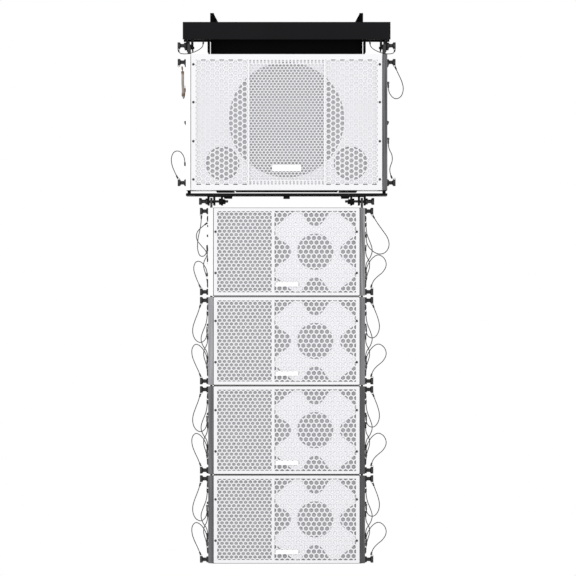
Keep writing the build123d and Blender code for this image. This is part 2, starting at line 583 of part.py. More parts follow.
# ---------------------------------------------------------------- modules
def module_routes(number):
    """The (side, pin index, route) of each of a module's lanyards."""
    first = number == 1
    return [
        (-1, 0, FIRST_LEFT_TOP if first else LEFT_TOP),
        (-1, 1, FIRST_LEFT_BOTTOM if first else LEFT_BOTTOM),
        (-1, 2, FIRST_REAR_TOP if first else REAR_TOP),
        (-1, 3, REAR_BOTTOM),
        (1, 0, FIRST_RIGHT_TOP if first else RIGHT_TOP),
        (1, 1, RIGHT_BOTTOM),
        (1, 2, REAR_TOP),
        (1, 3, REAR_BOTTOM),
    ]


def make_module_cabinet(number):
    """Write a wedge-sided cabinet, open at the front, with a shallow jack recess behind."""
    z = module_z(number)
    cabinet_front = FRONT + GRILLE_DEEP
    with BuildPart() as cabinet:
        with BuildSketch(yz_plane(0)):
            with BuildLine():
                Polyline(*wedge(z, cabinet_front, MODULE_BACK), close=True)
            make_face()
        extrude(amount=CABINET_HALF, both=True)
        with BuildSketch(yz_plane(0)):
            with BuildLine():
                Polyline(*wedge(z, cabinet_front, MODULE_BACK - CABINET_WALL, CABINET_WALL),
                         close=True)
            make_face()
        extrude(amount=CABINET_HALF - CABINET_WALL, both=True, mode=Mode.SUBTRACT)
        with BuildSketch(front_plane(MODULE_BACK, z)):
            Rectangle(180, 100)
        extrude(amount=3, mode=Mode.SUBTRACT)
        for start in (CABINET_HALF - 10.5, -CABINET_HALF):
            with BuildSketch(yz_plane(start)):
                with Locations(*module_pins(number)):
                    Circle(BORE_R)
            extrude(amount=10.5, mode=Mode.SUBTRACT)
    cabinet.part.label = f"module_{number}_cabinet"
    export_step(cabinet.part, f"parts/module_{number}_cabinet.step")


def make_module_baffle(number):
    """Write a baffle board and the phase plate that stands before its woofer."""
    z = module_z(number)
    board_back = BAFFLE_FRONT + BAFFLE_T
    phase_front = BAFFLE_FRONT - FLANGE_T - PHASE_T - SEAT_GAP
    with BuildPart() as baffle:
        with BuildSketch(yz_plane(0)):
            with BuildLine():
                Polyline(*wedge(z, BAFFLE_FRONT, board_back, CABINET_WALL), close=True)
            make_face()
        extrude(amount=CABINET_HALF - CABINET_WALL, both=True)
        with BuildSketch(front_plane(BAFFLE_FRONT, z)):
            with Locations((WOOFER_X, 0)):
                Circle(WOOFER_CUT)
            with Locations((HORN_X, 0)):
                Rectangle(2 * HORN_HALF_W - 10, 2 * HORN_HALF_H - 20)
        extrude(amount=-BAFFLE_T, mode=Mode.SUBTRACT)
        with BuildSketch(front_plane(phase_front, z)):
            with Locations((93, 0)):
                Rectangle(260, 250)
            with Locations((WOOFER_X, 0)):
                Circle(56, mode=Mode.SUBTRACT)
            for up in (-1, 1):
                with Locations((WOOFER_X, up * 134)):
                    Circle(48, mode=Mode.SUBTRACT)
            for across in (-1, 1):
                with Locations((WOOFER_X + across * 136, 0)):
                    Circle(54, mode=Mode.SUBTRACT)
        extrude(amount=-PHASE_T)
    baffle.part.label = f"module_{number}_baffle"
    export_step(baffle.part, f"parts/module_{number}_baffle.step")


def make_waveguide(number):
    """Write a tall waveguide and its two compression drivers."""
    z = module_z(number)
    mouth, throat = BAFFLE_FRONT, BAFFLE_FRONT + 100
    with BuildPart() as waveguide:
        with BuildSketch(front_plane(mouth, z)):
            with Locations((HORN_X, 0)):
                Rectangle(2 * HORN_HALF_W - 6, 2 * HORN_HALF_H - 12)
        extrude(amount=4)
        with BuildSketch(front_plane(mouth, z)):
            with Locations((HORN_X, 0)):
                Rectangle(2 * HORN_HALF_W - 12, 2 * HORN_HALF_H - 22)
        with BuildSketch(front_plane(throat, z)):
            with Locations((HORN_X, 0)):
                Rectangle(44, 2 * HORN_HALF_H - 40)
        loft()
        with BuildSketch(front_plane(mouth - 4, z)):
            with Locations((HORN_X, 0)):
                Rectangle(2 * HORN_HALF_W - 22, 2 * HORN_HALF_H - 32)
        with BuildSketch(front_plane(throat - 6, z)):
            with Locations((HORN_X, 0)):
                Rectangle(26, 2 * HORN_HALF_H - 60)
        loft(mode=Mode.SUBTRACT)
        with BuildSketch(front_plane(throat, z)):
            with Locations((HORN_X, 58), (HORN_X, -58)):
                Circle(52)
        extrude(amount=-55)
    waveguide.part.label = f"module_{number}_waveguide"
    export_step(waveguide.part, f"parts/module_{number}_waveguide.step")


def make_side_plates(number):
    """Write both side trays, with pin holes and the lugs of the lanyards."""
    z = module_z(number)
    pins = module_pins(number)
    with BuildPart() as plates:
        for side in SIDES:
            with BuildSketch(Plane.XY.offset(z - MODULE_HIGH / 2)):
                with BuildLine():
                    Polyline(*[(side * x, y) for x, y in
                               channel(CABINET_HALF, PLATE_OUT, MODULE_BACK)], close=True)
                make_face()
            extrude(amount=MODULE_HIGH)
        with BuildSketch(yz_plane(0)):
            with BuildLine():
                Polyline(*wedge(z, FRONT, MODULE_BACK), close=True)
            make_face()
        extrude(amount=PLATE_OUT, both=True, mode=Mode.INTERSECT)
        with BuildSketch(yz_plane(-PLATE_OUT)):
            with Locations(*pins):
                Circle(BORE_R)
        extrude(amount=2 * PLATE_OUT, mode=Mode.SUBTRACT)
        for side, index, route in module_routes(number):
            back, up = lug_place(route)
            pin_y, pin_z = pins[index]
            with Locations((side * (PLATE_OUT + LUG_OUT / 2), pin_y + back, pin_z + up)):
                Box(LUG_OUT, LUG, LUG)
    plates.part.label = f"module_{number}_side_plates"
    export_step(plates.part, f"parts/module_{number}_side_plates.step")


for number in range(1, MODULES + 1):
    height = module_z(number)
    make_module_cabinet(number)
    make_module_baffle(number)
    make_driver_frame(f"module_{number}_woofer", WOOFER_X, height, WOOFER_CUT)
    make_cone(f"module_{number}_cone", WOOFER_X, height, WOOFER_CUT)
    make_waveguide(number)
    make_grille(f"module_{number}_grille", height, CABINET_HALF - 2, MODULE_HIGH / 2 - 1.5,
                [(x, row) for x in (-231, 228) for row in (65, -69)], (0.5, -106, 74, 14))
    make_side_plates(number)
    pins = module_pins(number)
    for side, side_name in ((-1, "left"), (1, "right")):
        make_pins(f"module_{number}_{side_name}_pins", side,
                  [(PLATE_OUT, y, z, PIN_LONG, pin_outline) for y, z in pins[:2]]
                  + [(PLATE_OUT, y, z, PIN_LONG, button_outline) for y, z in pins[2:]])
    make_lanyards(f"module_{number}_lanyards",
                  [(side, PLATE_OUT, *pins[index], route)
                   for side, index, route in module_routes(number)])
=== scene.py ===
"""Finishes a flown line array: grilles, phase plates, cones, rigging hardware, lanyards and studio."""
import math
import bmesh
import bpy
from mathutils import Matrix, Vector


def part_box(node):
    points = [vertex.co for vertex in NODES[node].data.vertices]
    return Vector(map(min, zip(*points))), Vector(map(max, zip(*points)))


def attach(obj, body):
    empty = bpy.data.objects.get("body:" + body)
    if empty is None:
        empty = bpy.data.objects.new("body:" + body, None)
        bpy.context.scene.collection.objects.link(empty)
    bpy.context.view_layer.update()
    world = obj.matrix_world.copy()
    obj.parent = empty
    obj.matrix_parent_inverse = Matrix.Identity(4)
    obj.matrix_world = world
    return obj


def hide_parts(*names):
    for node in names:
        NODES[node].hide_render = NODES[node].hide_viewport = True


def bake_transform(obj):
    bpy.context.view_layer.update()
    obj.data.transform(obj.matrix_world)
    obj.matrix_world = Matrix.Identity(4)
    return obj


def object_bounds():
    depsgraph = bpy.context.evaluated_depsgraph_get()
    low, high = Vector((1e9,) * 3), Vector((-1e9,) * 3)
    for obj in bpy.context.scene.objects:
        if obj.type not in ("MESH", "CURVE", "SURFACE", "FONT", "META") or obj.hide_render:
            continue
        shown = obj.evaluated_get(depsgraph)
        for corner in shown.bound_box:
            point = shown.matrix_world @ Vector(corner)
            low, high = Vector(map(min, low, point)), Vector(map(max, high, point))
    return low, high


bl_info = {
    "name": "Flown line array finish",
    "version": (1, 0, 0),
    "blender": (4, 5, 0),
    "location": "3D View > Sidebar > Line Array",
    "description": "Builds the visible pieces of a flown line array around its rigging frame",
    "category": "Object",
}

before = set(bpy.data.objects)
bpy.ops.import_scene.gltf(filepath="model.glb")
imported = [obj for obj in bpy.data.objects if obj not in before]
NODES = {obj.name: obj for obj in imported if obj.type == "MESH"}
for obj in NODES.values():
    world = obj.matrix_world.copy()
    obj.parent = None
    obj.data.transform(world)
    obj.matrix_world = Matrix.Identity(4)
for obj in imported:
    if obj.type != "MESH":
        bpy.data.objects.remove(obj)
CAD_LOW, CAD_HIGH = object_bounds()
MM = 0.001
SIDES = ((-1, "left"), (1, "right"))
MODULES = range(1, 5)
FLAT_TO_FRONT = Matrix.Rotation(math.radians(90), 4, "X")   # a flat drawing turned to face -Y


def centre(node, axis):
    """Middle of a frame node's box along one axis: 0, 1 or 2."""
    low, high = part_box(node)
    return (low[axis] + high[axis]) / 2


# -------- places taken from the frame
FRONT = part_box("module_1_side_plates")[0].y
MODULE_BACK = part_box("module_1_cabinet")[1].y
MODULE_GRILLE_LOW, MODULE_GRILLE_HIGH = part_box("module_1_grille")
MODULE_GRILLE_HALF = MODULE_GRILLE_HIGH.x
MODULE_GRILLE_HALF_HIGH = (MODULE_GRILLE_HIGH.z - MODULE_GRILLE_LOW.z) / 2
SUB_LOW, SUB_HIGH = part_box("sub_side_plates")
SUB_Z = centre("sub_side_plates", 2)
SUB_HALF_HIGH = (SUB_HIGH.z - SUB_LOW.z) / 2
SUB_GRILLE_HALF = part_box("sub_grille")[1].x
SUB_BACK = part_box("sub_cabinet")[1].y
WOOFER_X = centre("module_1_cone", 0)
PHASE_X = WOOFER_X - 0.004                         # the phase plate sits a little off the woofer
SUB_DRIVER_Z = centre("sub_cone", 2)
CONE_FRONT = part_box("module_1_cone")[0].y
BAFFLE_THICK = 0.015
BAFFLE_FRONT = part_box("module_1_baffle")[1].y - BAFFLE_THICK
WOOFER_CUT, SUB_CUT = 0.113, 0.180                 # radii of the holes that the drivers fill
PORT_X, PORT_Z = 0.208, -0.474                     # middle of the right port; the left one mirrors it
WINDOW_LAP = 0.003                                 # how far a perforated field runs behind the face

PIN_REACH = 0.027                                  # from a tray's face to the end of its pins
PLATE_FACE = -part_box("module_1_left_pins")[0].x - PIN_REACH      # outer face of a module's trays
SUB_FACE = 0.3275                                  # outer faces of the bass trays and the fly frame
FLY_FACE = 0.328
MODULE_HALF_HIGH = 0.1435                          # half the height of a module's front edge
PIN_INSETS = (0.0115, 0.013)                       # of a module's pins from its top and bottom
PIN_DEPTHS = (FRONT + 0.040, FRONT + 0.330)        # front pins and rear pins of a module
TAPER = math.tan(math.radians(4))                  # how a module's top and bottom close to the rear
SUB_PIN_DEPTH = FRONT + 0.060
SUB_PIN_HEIGHTS = (SUB_HIGH.z - 0.0253, SUB_LOW.z + 0.0244)
FLY_PIN_HEIGHT = SUB_HIGH.z + 0.0286
RING_OUT, REAR_RING_OUT = 0.0235, 0.003            # of a pin's ring from the face of its tray
RING_OFF = 0.0122                                  # of a pin's ring from the pin's axis


def module_middle(number):
    """Height of a module's middle."""
    return centre(f"module_{number}_grille", 2)


def modules():
    """The name of each module's body, and the height of its middle."""
    return [(f"module_{number}", module_middle(number)) for number in MODULES]


def module_pins(z):
    """(depth, height) of a module's pins: top front, bottom front, top rear, bottom rear."""
    top = z + MODULE_HALF_HIGH - PIN_INSETS[0]
    bottom = z - MODULE_HALF_HIGH + PIN_INSETS[1]
    fall = (PIN_DEPTHS[1] - FRONT) * TAPER
    return [(PIN_DEPTHS[0], top), (PIN_DEPTHS[0], bottom),
            (PIN_DEPTHS[1], top - fall), (PIN_DEPTHS[1], bottom + fall)]


# -------- lanyard routes
# (outboard, back, up) in millimetres from a pin's axis at the face of its plate.
LEFT_TOP = [(25, 0, -13.5), (31, -4, -35), (42, -8, -62), (51, -11, -89), (50, -14, -113),
            (40, -16, -132), (23, -17, -139), (9, -17, -128), (3.5, -17, -110), (3.5, -17, -93)]
LEFT_BOTTOM = [(24, 0, 13.5), (33, 4, 36), (44, 8, 58), (53, 12, 82), (54, 15, 106),
               (42, 17, 122), (25, 18, 114), (11, 18, 95), (3.5, 18, 76), (3.5, 18, 56)]
RIGHT_TOP = [(25, 0, -13.5), (33, -5, -34), (42, -9, -57), (48, -12, -82), (44, -15, -106),
             (30, -17, -123), (13, -17, -121), (3.5, -17, -106), (3.5, -17, -90)]
RIGHT_BOTTOM = [(19, 0, 13.5), (24, 5, 32), (39, 9, 49), (59, 13, 64), (71, 16, 86), (65, 18, 109),
                (45, 19, 123), (26, 19, 113), (12, 19, 94), (3.5, 19, 74), (3.5, 19, 54)]
FIRST_LEFT_TOP = [(22, 0, -13.5), (23, -5, -38), (27, -9, -62), (33, -12, -86), (35, -14, -109),
                  (34, -16, -129), (27, -17, -147), (12, -17, -147), (3.5, -17, -130),
                  (3.5, -17, -110)]
FIRST_LEFT_BOTTOM = [(25, 0, 13.5), (34, 5, 33), (43, 9, 55), (49, 12, 79), (40, 15, 101),
                     (22, 17, 98), (10, 18, 82), (3.5, 18, 66), (3.5, 18, 50)]
FIRST_RIGHT_TOP = [(25, 0, -13.5), (38, -5, -36), (57, -9, -62), (75, -12, -87), (80, -15, -114),
                   (66, -17, -137), (42, -18, -141), (20, -18, -127), (8, -18, -111),
                   (3.5, -18, -93), (3.5, -18, -75)]
REAR_TOP = [(4.5, 0, -13.5), (5, 4, -33), (9, 8, -55), (19, 12, -78), (27, 15, -103),
            (20, 17, -126), (8, 18, -141), (3.5, 18, -156), (3.5, 18, -171)]
FIRST_REAR_TOP = [(4.5, 0, -13.5), (22, 5, -26), (40, 9, -44), (41, 12, -68), (25, 15, -88),
                  (9, 16, -105), (3.5, 16, -123), (3.5, 16, -141)]
REAR_BOTTOM = [(4.5, 0, 13.5), (9, -5, 34), (17, -9, 56), (16, -13, 77), (6, -16, 93),
               (3.5, -16, 108), (3.5, -16, 123)]
SUB_LEFT_TOP = [(13, 3, -13.5), (10, 1, -38), (11, -1, -64), (9, 2, -90), (10, 9, -112),
                (8, 24, -120), (3.5, 36, -106), (3.5, 36, -84)]
SUB_RIGHT_TOP = [(25, 0, -13.5), (35, 5, -36), (47, 9, -60), (54, 12, -87), (46, 15, -113),
                 (26, 17, -121), (10, 18, -107), (3.5, 18, -89), (3.5, 18, -71)]
SUB_LEFT_BOTTOM = [(26, 0, 13.5), (37, 5, 35), (46, 9, 57), (49, 12, 82), (39, 15, 103),
                   (20, 17, 104), (8, 18, 89), (3.5, 18, 72), (3.5, 18, 55)]
SUB_RIGHT_BOTTOM = [(16, 0, 13.5), (9, 5, 30), (8, 9, 50), (17, 13, 70), (16, 16, 92),
                    (7, 19, 107), (3.5, 20, 123), (3.5, 20, 139)]
FLY_LANYARD = [(24, -2, -13.5), (23, -17, -24), (7, -32, -28), (-15, -37, -26), (-38, -33, -17),
               (-52, -20, -7), (-57, -9, 3), (-57, -9, 16.6)]


# -------- settings
def length(name, description, default):
    """A length setting, in metres."""
    return bpy.props.FloatProperty(name=name, description=description, default=default,
                                   unit="LENGTH")


class ArraySizes(bpy.types.PropertyGroup):
    """Sizes of the visible pieces."""

    hex_pitch: length("Hexagon pitch", "Distance between neighbouring hexagonal holes", 0.0172)
    hex_hole: length("Hexagon radius", "Corner radius of a hexagonal hole", 0.0077)
    fine_pitch: length("Fine pitch", "Distance between neighbouring fine holes of a module", 0.0153)
    fine_hole: length("Fine hole radius", "Corner radius of a module's fine hole", 0.0068)
    fine_squash: bpy.props.FloatProperty(
        name="Fine squash", description="Height of a fine hole and its row over a regular one",
        default=0.838, min=0.5, max=1.0)
    sub_pitch: length("Bass fine pitch", "Distance between neighbouring fine bass holes", 0.0118)
    sub_hole: length("Bass fine hole radius", "Corner radius of a fine bass hole", 0.0053)
    sheet: length("Sheet thickness", "Thickness of the folded grille sheet", 0.0015)
    backing_gap: length("Backing gap", "From the grille's face to the white piece behind it", 0.004)
    wire: length("Wire diameter", "Diameter of a lanyard's sleeved wire", 0.0028)


def colour(name, description, default):
    """A colour setting."""
    return bpy.props.FloatVectorProperty(name=name, description=description, default=default,
                                         subtype="COLOR", size=3, min=0.0, max=1.0)


class ArrayColours(bpy.types.PropertyGroup):
    """Colours of the finishes."""

    grille: colour("Grille", "Powder coat of the grilles", (0.81, 0.808, 0.83))
    cabinet: colour("Cabinet", "Textured paint of the cabinets", (0.72, 0.72, 0.72))
    backing: colour("Backing", "Phase plates and backing foam", (0.87, 0.865, 0.895))
    # Painted light: the cone and waveguide greys are lighter than the real parts, standing in for
    # light that reaches into the cavity.
    cone: colour("Cone", "Treated paper of the cones", (0.52, 0.52, 0.53))
    waveguide: colour("Waveguide", "Moulded waveguides", (0.62, 0.62, 0.63))
    black: colour("Black", "Powder coat of the fly frame", (0.006, 0.006, 0.007))
    wire: colour("Wire", "Sleeved wire of the lanyards", (0.02, 0.02, 0.022))


# -------- node helpers
def link(tree, *wires):
    """Connect nodes; each wire is (source, output, target, input), sockets by name or number."""
    for source, output, target, socket in wires:
        tree.links.new(source.outputs[output], target.inputs[socket])


def add_node(tree, kind, values=None, **properties):
    """A new node with its properties set, and then the values of its inputs."""
    node = tree.nodes.new(kind)
    for name, value in properties.items():
        setattr(node, name, value)
    for name, value in (values or {}).items():
        node.inputs[name].default_value = value
    return node


def blend_node(tree, first, second):
    """A node that goes from one colour to another."""
    return add_node(tree, "ShaderNodeMix", {"A": (*first, 1), "B": (*second, 1)},
                    data_type="RGBA")


def math_node(tree, operation, first, second):
    """A maths node fed by (node, output) pairs or plain numbers."""
    node = add_node(tree, "ShaderNodeMath", operation=operation)
    for number, value in enumerate((first, second)):
        if isinstance(value, tuple):
            link(tree, (*value, node, number))
        else:
            node.inputs[number].default_value = value
    return node


# -------- materials
GLOSS_SPREAD = 0.08


def new_material(name, sheen, metallic=0.0):
    """A new material, its node tree and its shader."""
    material = bpy.data.materials.new(name)
    material.use_nodes = True
    shader = material.node_tree.nodes["Principled BSDF"]
    shader.inputs["Metallic"].default_value = metallic
    shader.inputs["Specular IOR Level"].default_value = sheen
    return material, material.node_tree, shader


def grained(name, base, tone, roughness, grain, patch=5.0, bump=0.05, metallic=0.0, sheen=0.5):
    """A painted or moulded finish: broad tone patches, fine grain bump and uneven gloss."""
    material, tree, shader = new_material(name, sheen, metallic)
    coordinates = add_node(tree, "ShaderNodeTexCoord")
    patches = add_node(tree, "ShaderNodeTexNoise", {"Scale": patch, "Detail": 6.0})
    mix = blend_node(tree, base, tone)
    gloss = add_node(tree, "ShaderNodeMapRange", {"To Min": roughness - GLOSS_SPREAD,
                                                  "To Max": roughness + GLOSS_SPREAD})
    fine = add_node(tree, "ShaderNodeTexNoise", {"Scale": grain, "Detail": 3.0})
    relief = add_node(tree, "ShaderNodeBump", {"Strength": bump, "Distance": 0.001})
    link(tree, (coordinates, "Object", patches, "Vector"), (coordinates, "Object", fine, "Vector"),
         (patches, "Fac", mix, "Factor"), (patches, "Fac", gloss, "Value"),
         (mix, "Result", shader, "Base Color"), (gloss, "Result", shader, "Roughness"),
         (fine, "Fac", relief, "Height"), (relief, "Normal", shader, "Normal"))
    return material


def tray_enamel(name, left, right, reflection_depth, left_share=1.0):
    """Enamelled side trays whose sides take painted light and shade, streaked with painted reflection.
    """
    material = grained(name, left, left, 0.4, 260, bump=0.04, sheen=0.3)
    tree = material.node_tree
    source = tree.nodes["Texture Coordinate"]
    split = add_node(tree, "ShaderNodeSeparateXYZ")
    stretch = add_node(tree, "ShaderNodeMapping", {"Scale": (150.0, 85.0, 5.0)})
    # Painted light and shade: trays right of the middle take the right tone, the others the left one.
    to_right = math_node(tree, "GREATER_THAN", (split, "X"), 0.0)
    side = blend_node(tree, left, right)
    # Painted reflection: darker vertical streaks stand in for the studio reflected in the metal.
    reflection_noise = add_node(tree, "ShaderNodeTexNoise", {"Scale": 1.0, "Detail": 4.0})
    amount = add_node(tree, "ShaderNodeMapRange", {"From Min": 0.35, "From Max": 0.65,
                                                   "To Min": 1.0 - reflection_depth})
    more = math_node(tree, "MULTIPLY", (to_right, 0), 1.0 - left_share)
    share = math_node(tree, "ADD", (more, 0), left_share)
    shade = add_node(tree, "ShaderNodeMix", data_type="RGBA", blend_type="MULTIPLY")
    link(tree, (source, "Object", split, "Vector"), (source, "Object", stretch, "Vector"),
         (to_right, 0, side, "Factor"), (stretch, "Vector", reflection_noise, "Vector"),
         (reflection_noise, "Fac", amount, "Value"), (share, 0, shade, "Factor"),
         (side, "Result", shade, "A"), (amount, "Result", shade, "B"),
         (shade, "Result", tree.nodes["Principled BSDF"], "Base Color"))
    return material


def stranded(name, base, shine):
    """Twisted wire strands under a clear sleeve, drawn on the lanyard's own UV map."""
    material, tree, shader = new_material(name, 0.2)
    uv = add_node(tree, "ShaderNodeUVMap", uv_map="UVMap")
    twist = add_node(tree, "ShaderNodeTexWave", {"Scale": 2.0}, wave_type="BANDS",
                     bands_direction="DIAGONAL")
    ramp = add_node(tree, "ShaderNodeMapRange", {"To Min": 0.25, "To Max": 0.5})
    mix = blend_node(tree, base, shine)
    relief = add_node(tree, "ShaderNodeBump", {"Strength": 0.4, "Distance": 0.0003})
    link(tree, (uv, "UV", twist, "Vector"), (twist, "Fac", mix, "Factor"),
         (twist, "Fac", ramp, "Value"), (twist, "Fac", relief, "Height"),
         (mix, "Result", shader, "Base Color"), (ramp, "Result", shader, "Roughness"),
         (relief, "Normal", shader, "Normal"))
    return material


# Base tone, tone of the patches, roughness, grain and grained's other settings. A tone is red, green
# and blue, or the name of a colour setting and the share of it.
# Painted shade: grey sheets behind the grilles stand in for the shaded driver, horn and port cavities
# seen through the holes.
SHADE_SHEET = {"patch": 30, "bump": 0.4, "sheen": 0.1}
FINISHES = {
    "grille_coat": (("grille", 1), ("grille", 0.95), 0.42, 900, {}),
    "cabinet_paint": (("cabinet", 1), ("cabinet", 0.93), 0.6, 420, {"bump": 0.35}),
    "backing_white": (("backing", 1), ("backing", 0.98), 0.7, 1400, {"bump": 0.03}),
    "foam_white": (("backing", 0.93), ("backing", 0.89), 0.8, 900, {"bump": 0.06}),
    # Painted light: cone, surround, waveguide and board greys are lighter than the real parts,
    # standing in for light in the cavity.
    "cone_paper": (("cone", 1), ("cone", 0.8), 0.75, 600, {"bump": 0.3}),
    "surround_rubber": (("cone", 0.5), ("cone", 0.4), 0.5, 300, {}),
    "waveguide_plastic": (("waveguide", 1), ("waveguide", 0.9), 0.55, 700, {"bump": 0.1}),
    "board_dark": ((0.40, 0.40, 0.41), (0.34, 0.34, 0.35), 0.8, 300, {}),
    "basket_black": ((0.02, 0.02, 0.02), (0.03, 0.03, 0.03), 0.5, 200, {}),
    "frame_powder": (("black", 1), (0.010, 0.010, 0.011), 0.5, 1100, {"bump": 0.25, "sheen": 0.06}),
    "rail_powder": ((0.002, 0.002, 0.002), (0.004, 0.004, 0.004), 0.6, 1100,
                    {"bump": 0.25, "sheen": 0.02}),
    "pin_black": ((0.003, 0.003, 0.004), (0.012, 0.012, 0.012), 0.45, 500,
                  {"patch": 40, "bump": 0.04, "sheen": 0.04}),
    "link_steel": ((0.008, 0.008, 0.009), (0.03, 0.028, 0.026), 0.5, 350,
                   {"patch": 30, "sheen": 0.08}),
    "scrim_grey": ((0.48, 0.48, 0.50), (0.45, 0.45, 0.47), 0.9, 2500, SHADE_SHEET),
    "scrim_light": ((0.56, 0.56, 0.58), (0.52, 0.52, 0.54), 0.9, 2500, SHADE_SHEET),
    "scrim_deep": ((0.52, 0.52, 0.54), (0.49, 0.49, 0.51), 0.9, 2500, {**SHADE_SHEET, "sheen": 0.05}),
    "sleeve_tan": ((0.16, 0.13, 0.11), (0.42, 0.39, 0.36), 0.5, 400, {"patch": 160, "bump": 0.2}),
    "screw_dark": ((0.05, 0.05, 0.05), (0.09, 0.09, 0.09), 0.35, 800,
                   {"patch": 90, "metallic": 0.8}),
    "badge_white": ((0.93, 0.93, 0.93), (0.9, 0.9, 0.9), 0.25, 900, {"bump": 0.02}),
    "copper_sleeve": ((0.24, 0.14, 0.08), (0.10, 0.06, 0.04), 0.35, 500,
                      {"patch": 120, "metallic": 0.3}),
    "crimp_black": ((0.015, 0.015, 0.015), (0.04, 0.04, 0.04), 0.4, 600,
                    {"patch": 120, "metallic": 0.5}),
    # Rubber on the bass feet; on the gap strips this black is painted shade.
    "foot_rubber": ((0.01, 0.01, 0.01), (0.02, 0.02, 0.02), 0.8, 500, {"bump": 0.2}),
    "studio_white": ((0.9, 0.9, 0.9), (0.88, 0.88, 0.88), 0.9, 40, {"bump": 0.0}),
}
# Left tone, right tone, depth of the streaks, and how much of them the left side shows.
# Painted light: the tones are lit and shaded copies of one enamel; the streaks are painted reflection.
TRAYS = {
    "tray_sub": ((0.93, 0.93, 0.93), (0.15, 0.15, 0.16), 0.75, 0.04),
    "tray_1": ((0.93, 0.93, 0.93), (0.31, 0.31, 0.32), 0.55, 0.06),
    "tray_2": ((0.36, 0.36, 0.38), (0.22, 0.22, 0.23), 0.3),
    "tray_3": ((0.15, 0.15, 0.16), (0.08, 0.08, 0.085), 0.4),
    "tray_4": ((0.14, 0.14, 0.15), (0.08, 0.08, 0.085), 0.4),
}


def tone_of(choice):
    """Red, green and blue of a tone, which may be a colour setting and the share of it."""
    if isinstance(choice[0], str):
        setting, share = choice
        return tuple(share * part for part in getattr(bpy.context.scene.array_colours, setting))
    return choice


def finish(name):
    """The named material, made the first time it is asked for."""
    if name in bpy.data.materials:
        return bpy.data.materials[name]
    if name in TRAYS:
        return tray_enamel(name, *TRAYS[name])
    if name == "wire_sleeve":
        return stranded(name, tone_of(("wire", 1)), tone_of(("wire", 3.0)))
    base, patches, roughness, grain, settings = FINISHES[name]
    return grained(name, tone_of(base), tone_of(patches), roughness, grain, **settings)


def repaint(node, name):
    """Give a frame node's slots a finish."""
    for slot in NODES[node].material_slots:
        slot.material = finish(name)


# -------- mesh helpers
def place_object(name, data, material=None):
    """A new object at the origin; where a material is named, its mesh gets it."""
    item = bpy.data.objects.new(name, data)
    bpy.context.scene.collection.objects.link(item)
    if material:
        data.materials.clear()
        data.materials.append(finish(material))
    return item


def add_piece(name, mesh, material, body, node=None):
    """A new piece riding on a body; it may stand in for a frame node."""
    piece = place_object(name, mesh, material)
    if node:
        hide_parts(node)
    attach(piece, body)


def mesh_from(shape, name):
    """The mesh that a finished bmesh draws; the bmesh goes."""
    mesh = bpy.data.meshes.new(name)
    shape.to_mesh(mesh)
    shape.free()
    return mesh


def clean(mesh, smooth=False):
    """Merge doubles, turn faces outwards and shade."""
    shape = bmesh.new()
    shape.from_mesh(mesh)
    bmesh.ops.remove_doubles(shape, verts=shape.verts, dist=1e-6)
    bmesh.ops.recalc_face_normals(shape, faces=shape.faces)
    shape.to_mesh(mesh)
    shape.free()
    if smooth:
        mesh.shade_smooth()
        mesh.set_sharp_from_angle(angle=math.radians(40))
    return mesh


def as_mesh(host):
    """The evaluated shape of an object as a plain mesh; the object goes."""
    view = bpy.context.evaluated_depsgraph_get()
    mesh = bpy.data.meshes.new_from_object(host.evaluated_get(view), depsgraph=view)
    data = host.data
    bpy.data.objects.remove(host)
    if isinstance(data, bpy.types.Curve):
        bpy.data.curves.remove(data)
    return mesh


def join(meshes):
    """One mesh from several."""
    shape = bmesh.new()
    for mesh in meshes:
        shape.from_mesh(mesh)
    return mesh_from(shape, "joined")


def plate(outlines, thick, front, rounding=0.0):
    """A flat plate facing -Y, drawn by closed (x, z) outlines; inner outlines are holes."""
    drawing = bpy.data.curves.new("drawing", "CURVE")
    drawing.dimensions = "2D"
    drawing.fill_mode = "BOTH"
    drawing.extrude = thick / 2 - rounding
    drawing.bevel_depth = rounding
    drawing.bevel_resolution = 2
    drawing.offset = -rounding
    for outline in outlines:
        spline = drawing.splines.new("POLY")
        spline.points.add(len(outline) - 1)
        for point, (x, z) in zip(spline.points, outline):
            point.co = (x, z, 0, 1)
        spline.use_cyclic_u = True
    mesh = as_mesh(place_object("drawing", drawing))
    mesh.transform(Matrix.Translation((0, front + thick / 2, 0)) @ FLAT_TO_FRONT)
    return clean(mesh)


def rectangle(x, z, half_wide, half_high, corner=0.0, steps=5):
    """Closed outline of a rectangle about (x, z), its corners rounded."""
    if corner == 0.0:
        return [(x - half_wide, z - half_high), (x + half_wide, z - half_high),
                (x + half_wide, z + half_high), (x - half_wide, z + half_high)]
    outline = []
    for quarter, (across, up) in enumerate(((1, -1), (1, 1), (-1, 1), (-1, -1))):
        middle = (x + across * (half_wide - corner), z + up * (half_high - corner))
        outline += arc(*middle, corner, 90 * quarter - 90, 90 * quarter, steps)
    return outline


def arc(x, z, radius, start, end, steps):
    """Points along an arc, angles in degrees."""
    turns = [math.radians(start + (end - start) * step / steps) for step in range(steps + 1)]
    return [(x + radius * math.cos(turn), z + radius * math.sin(turn)) for turn in turns]


def circle(x, z, radius, steps=64):
    """Closed outline of a circle."""
    return arc(x, z, radius, 0, 360 - 360 / steps, steps - 1)


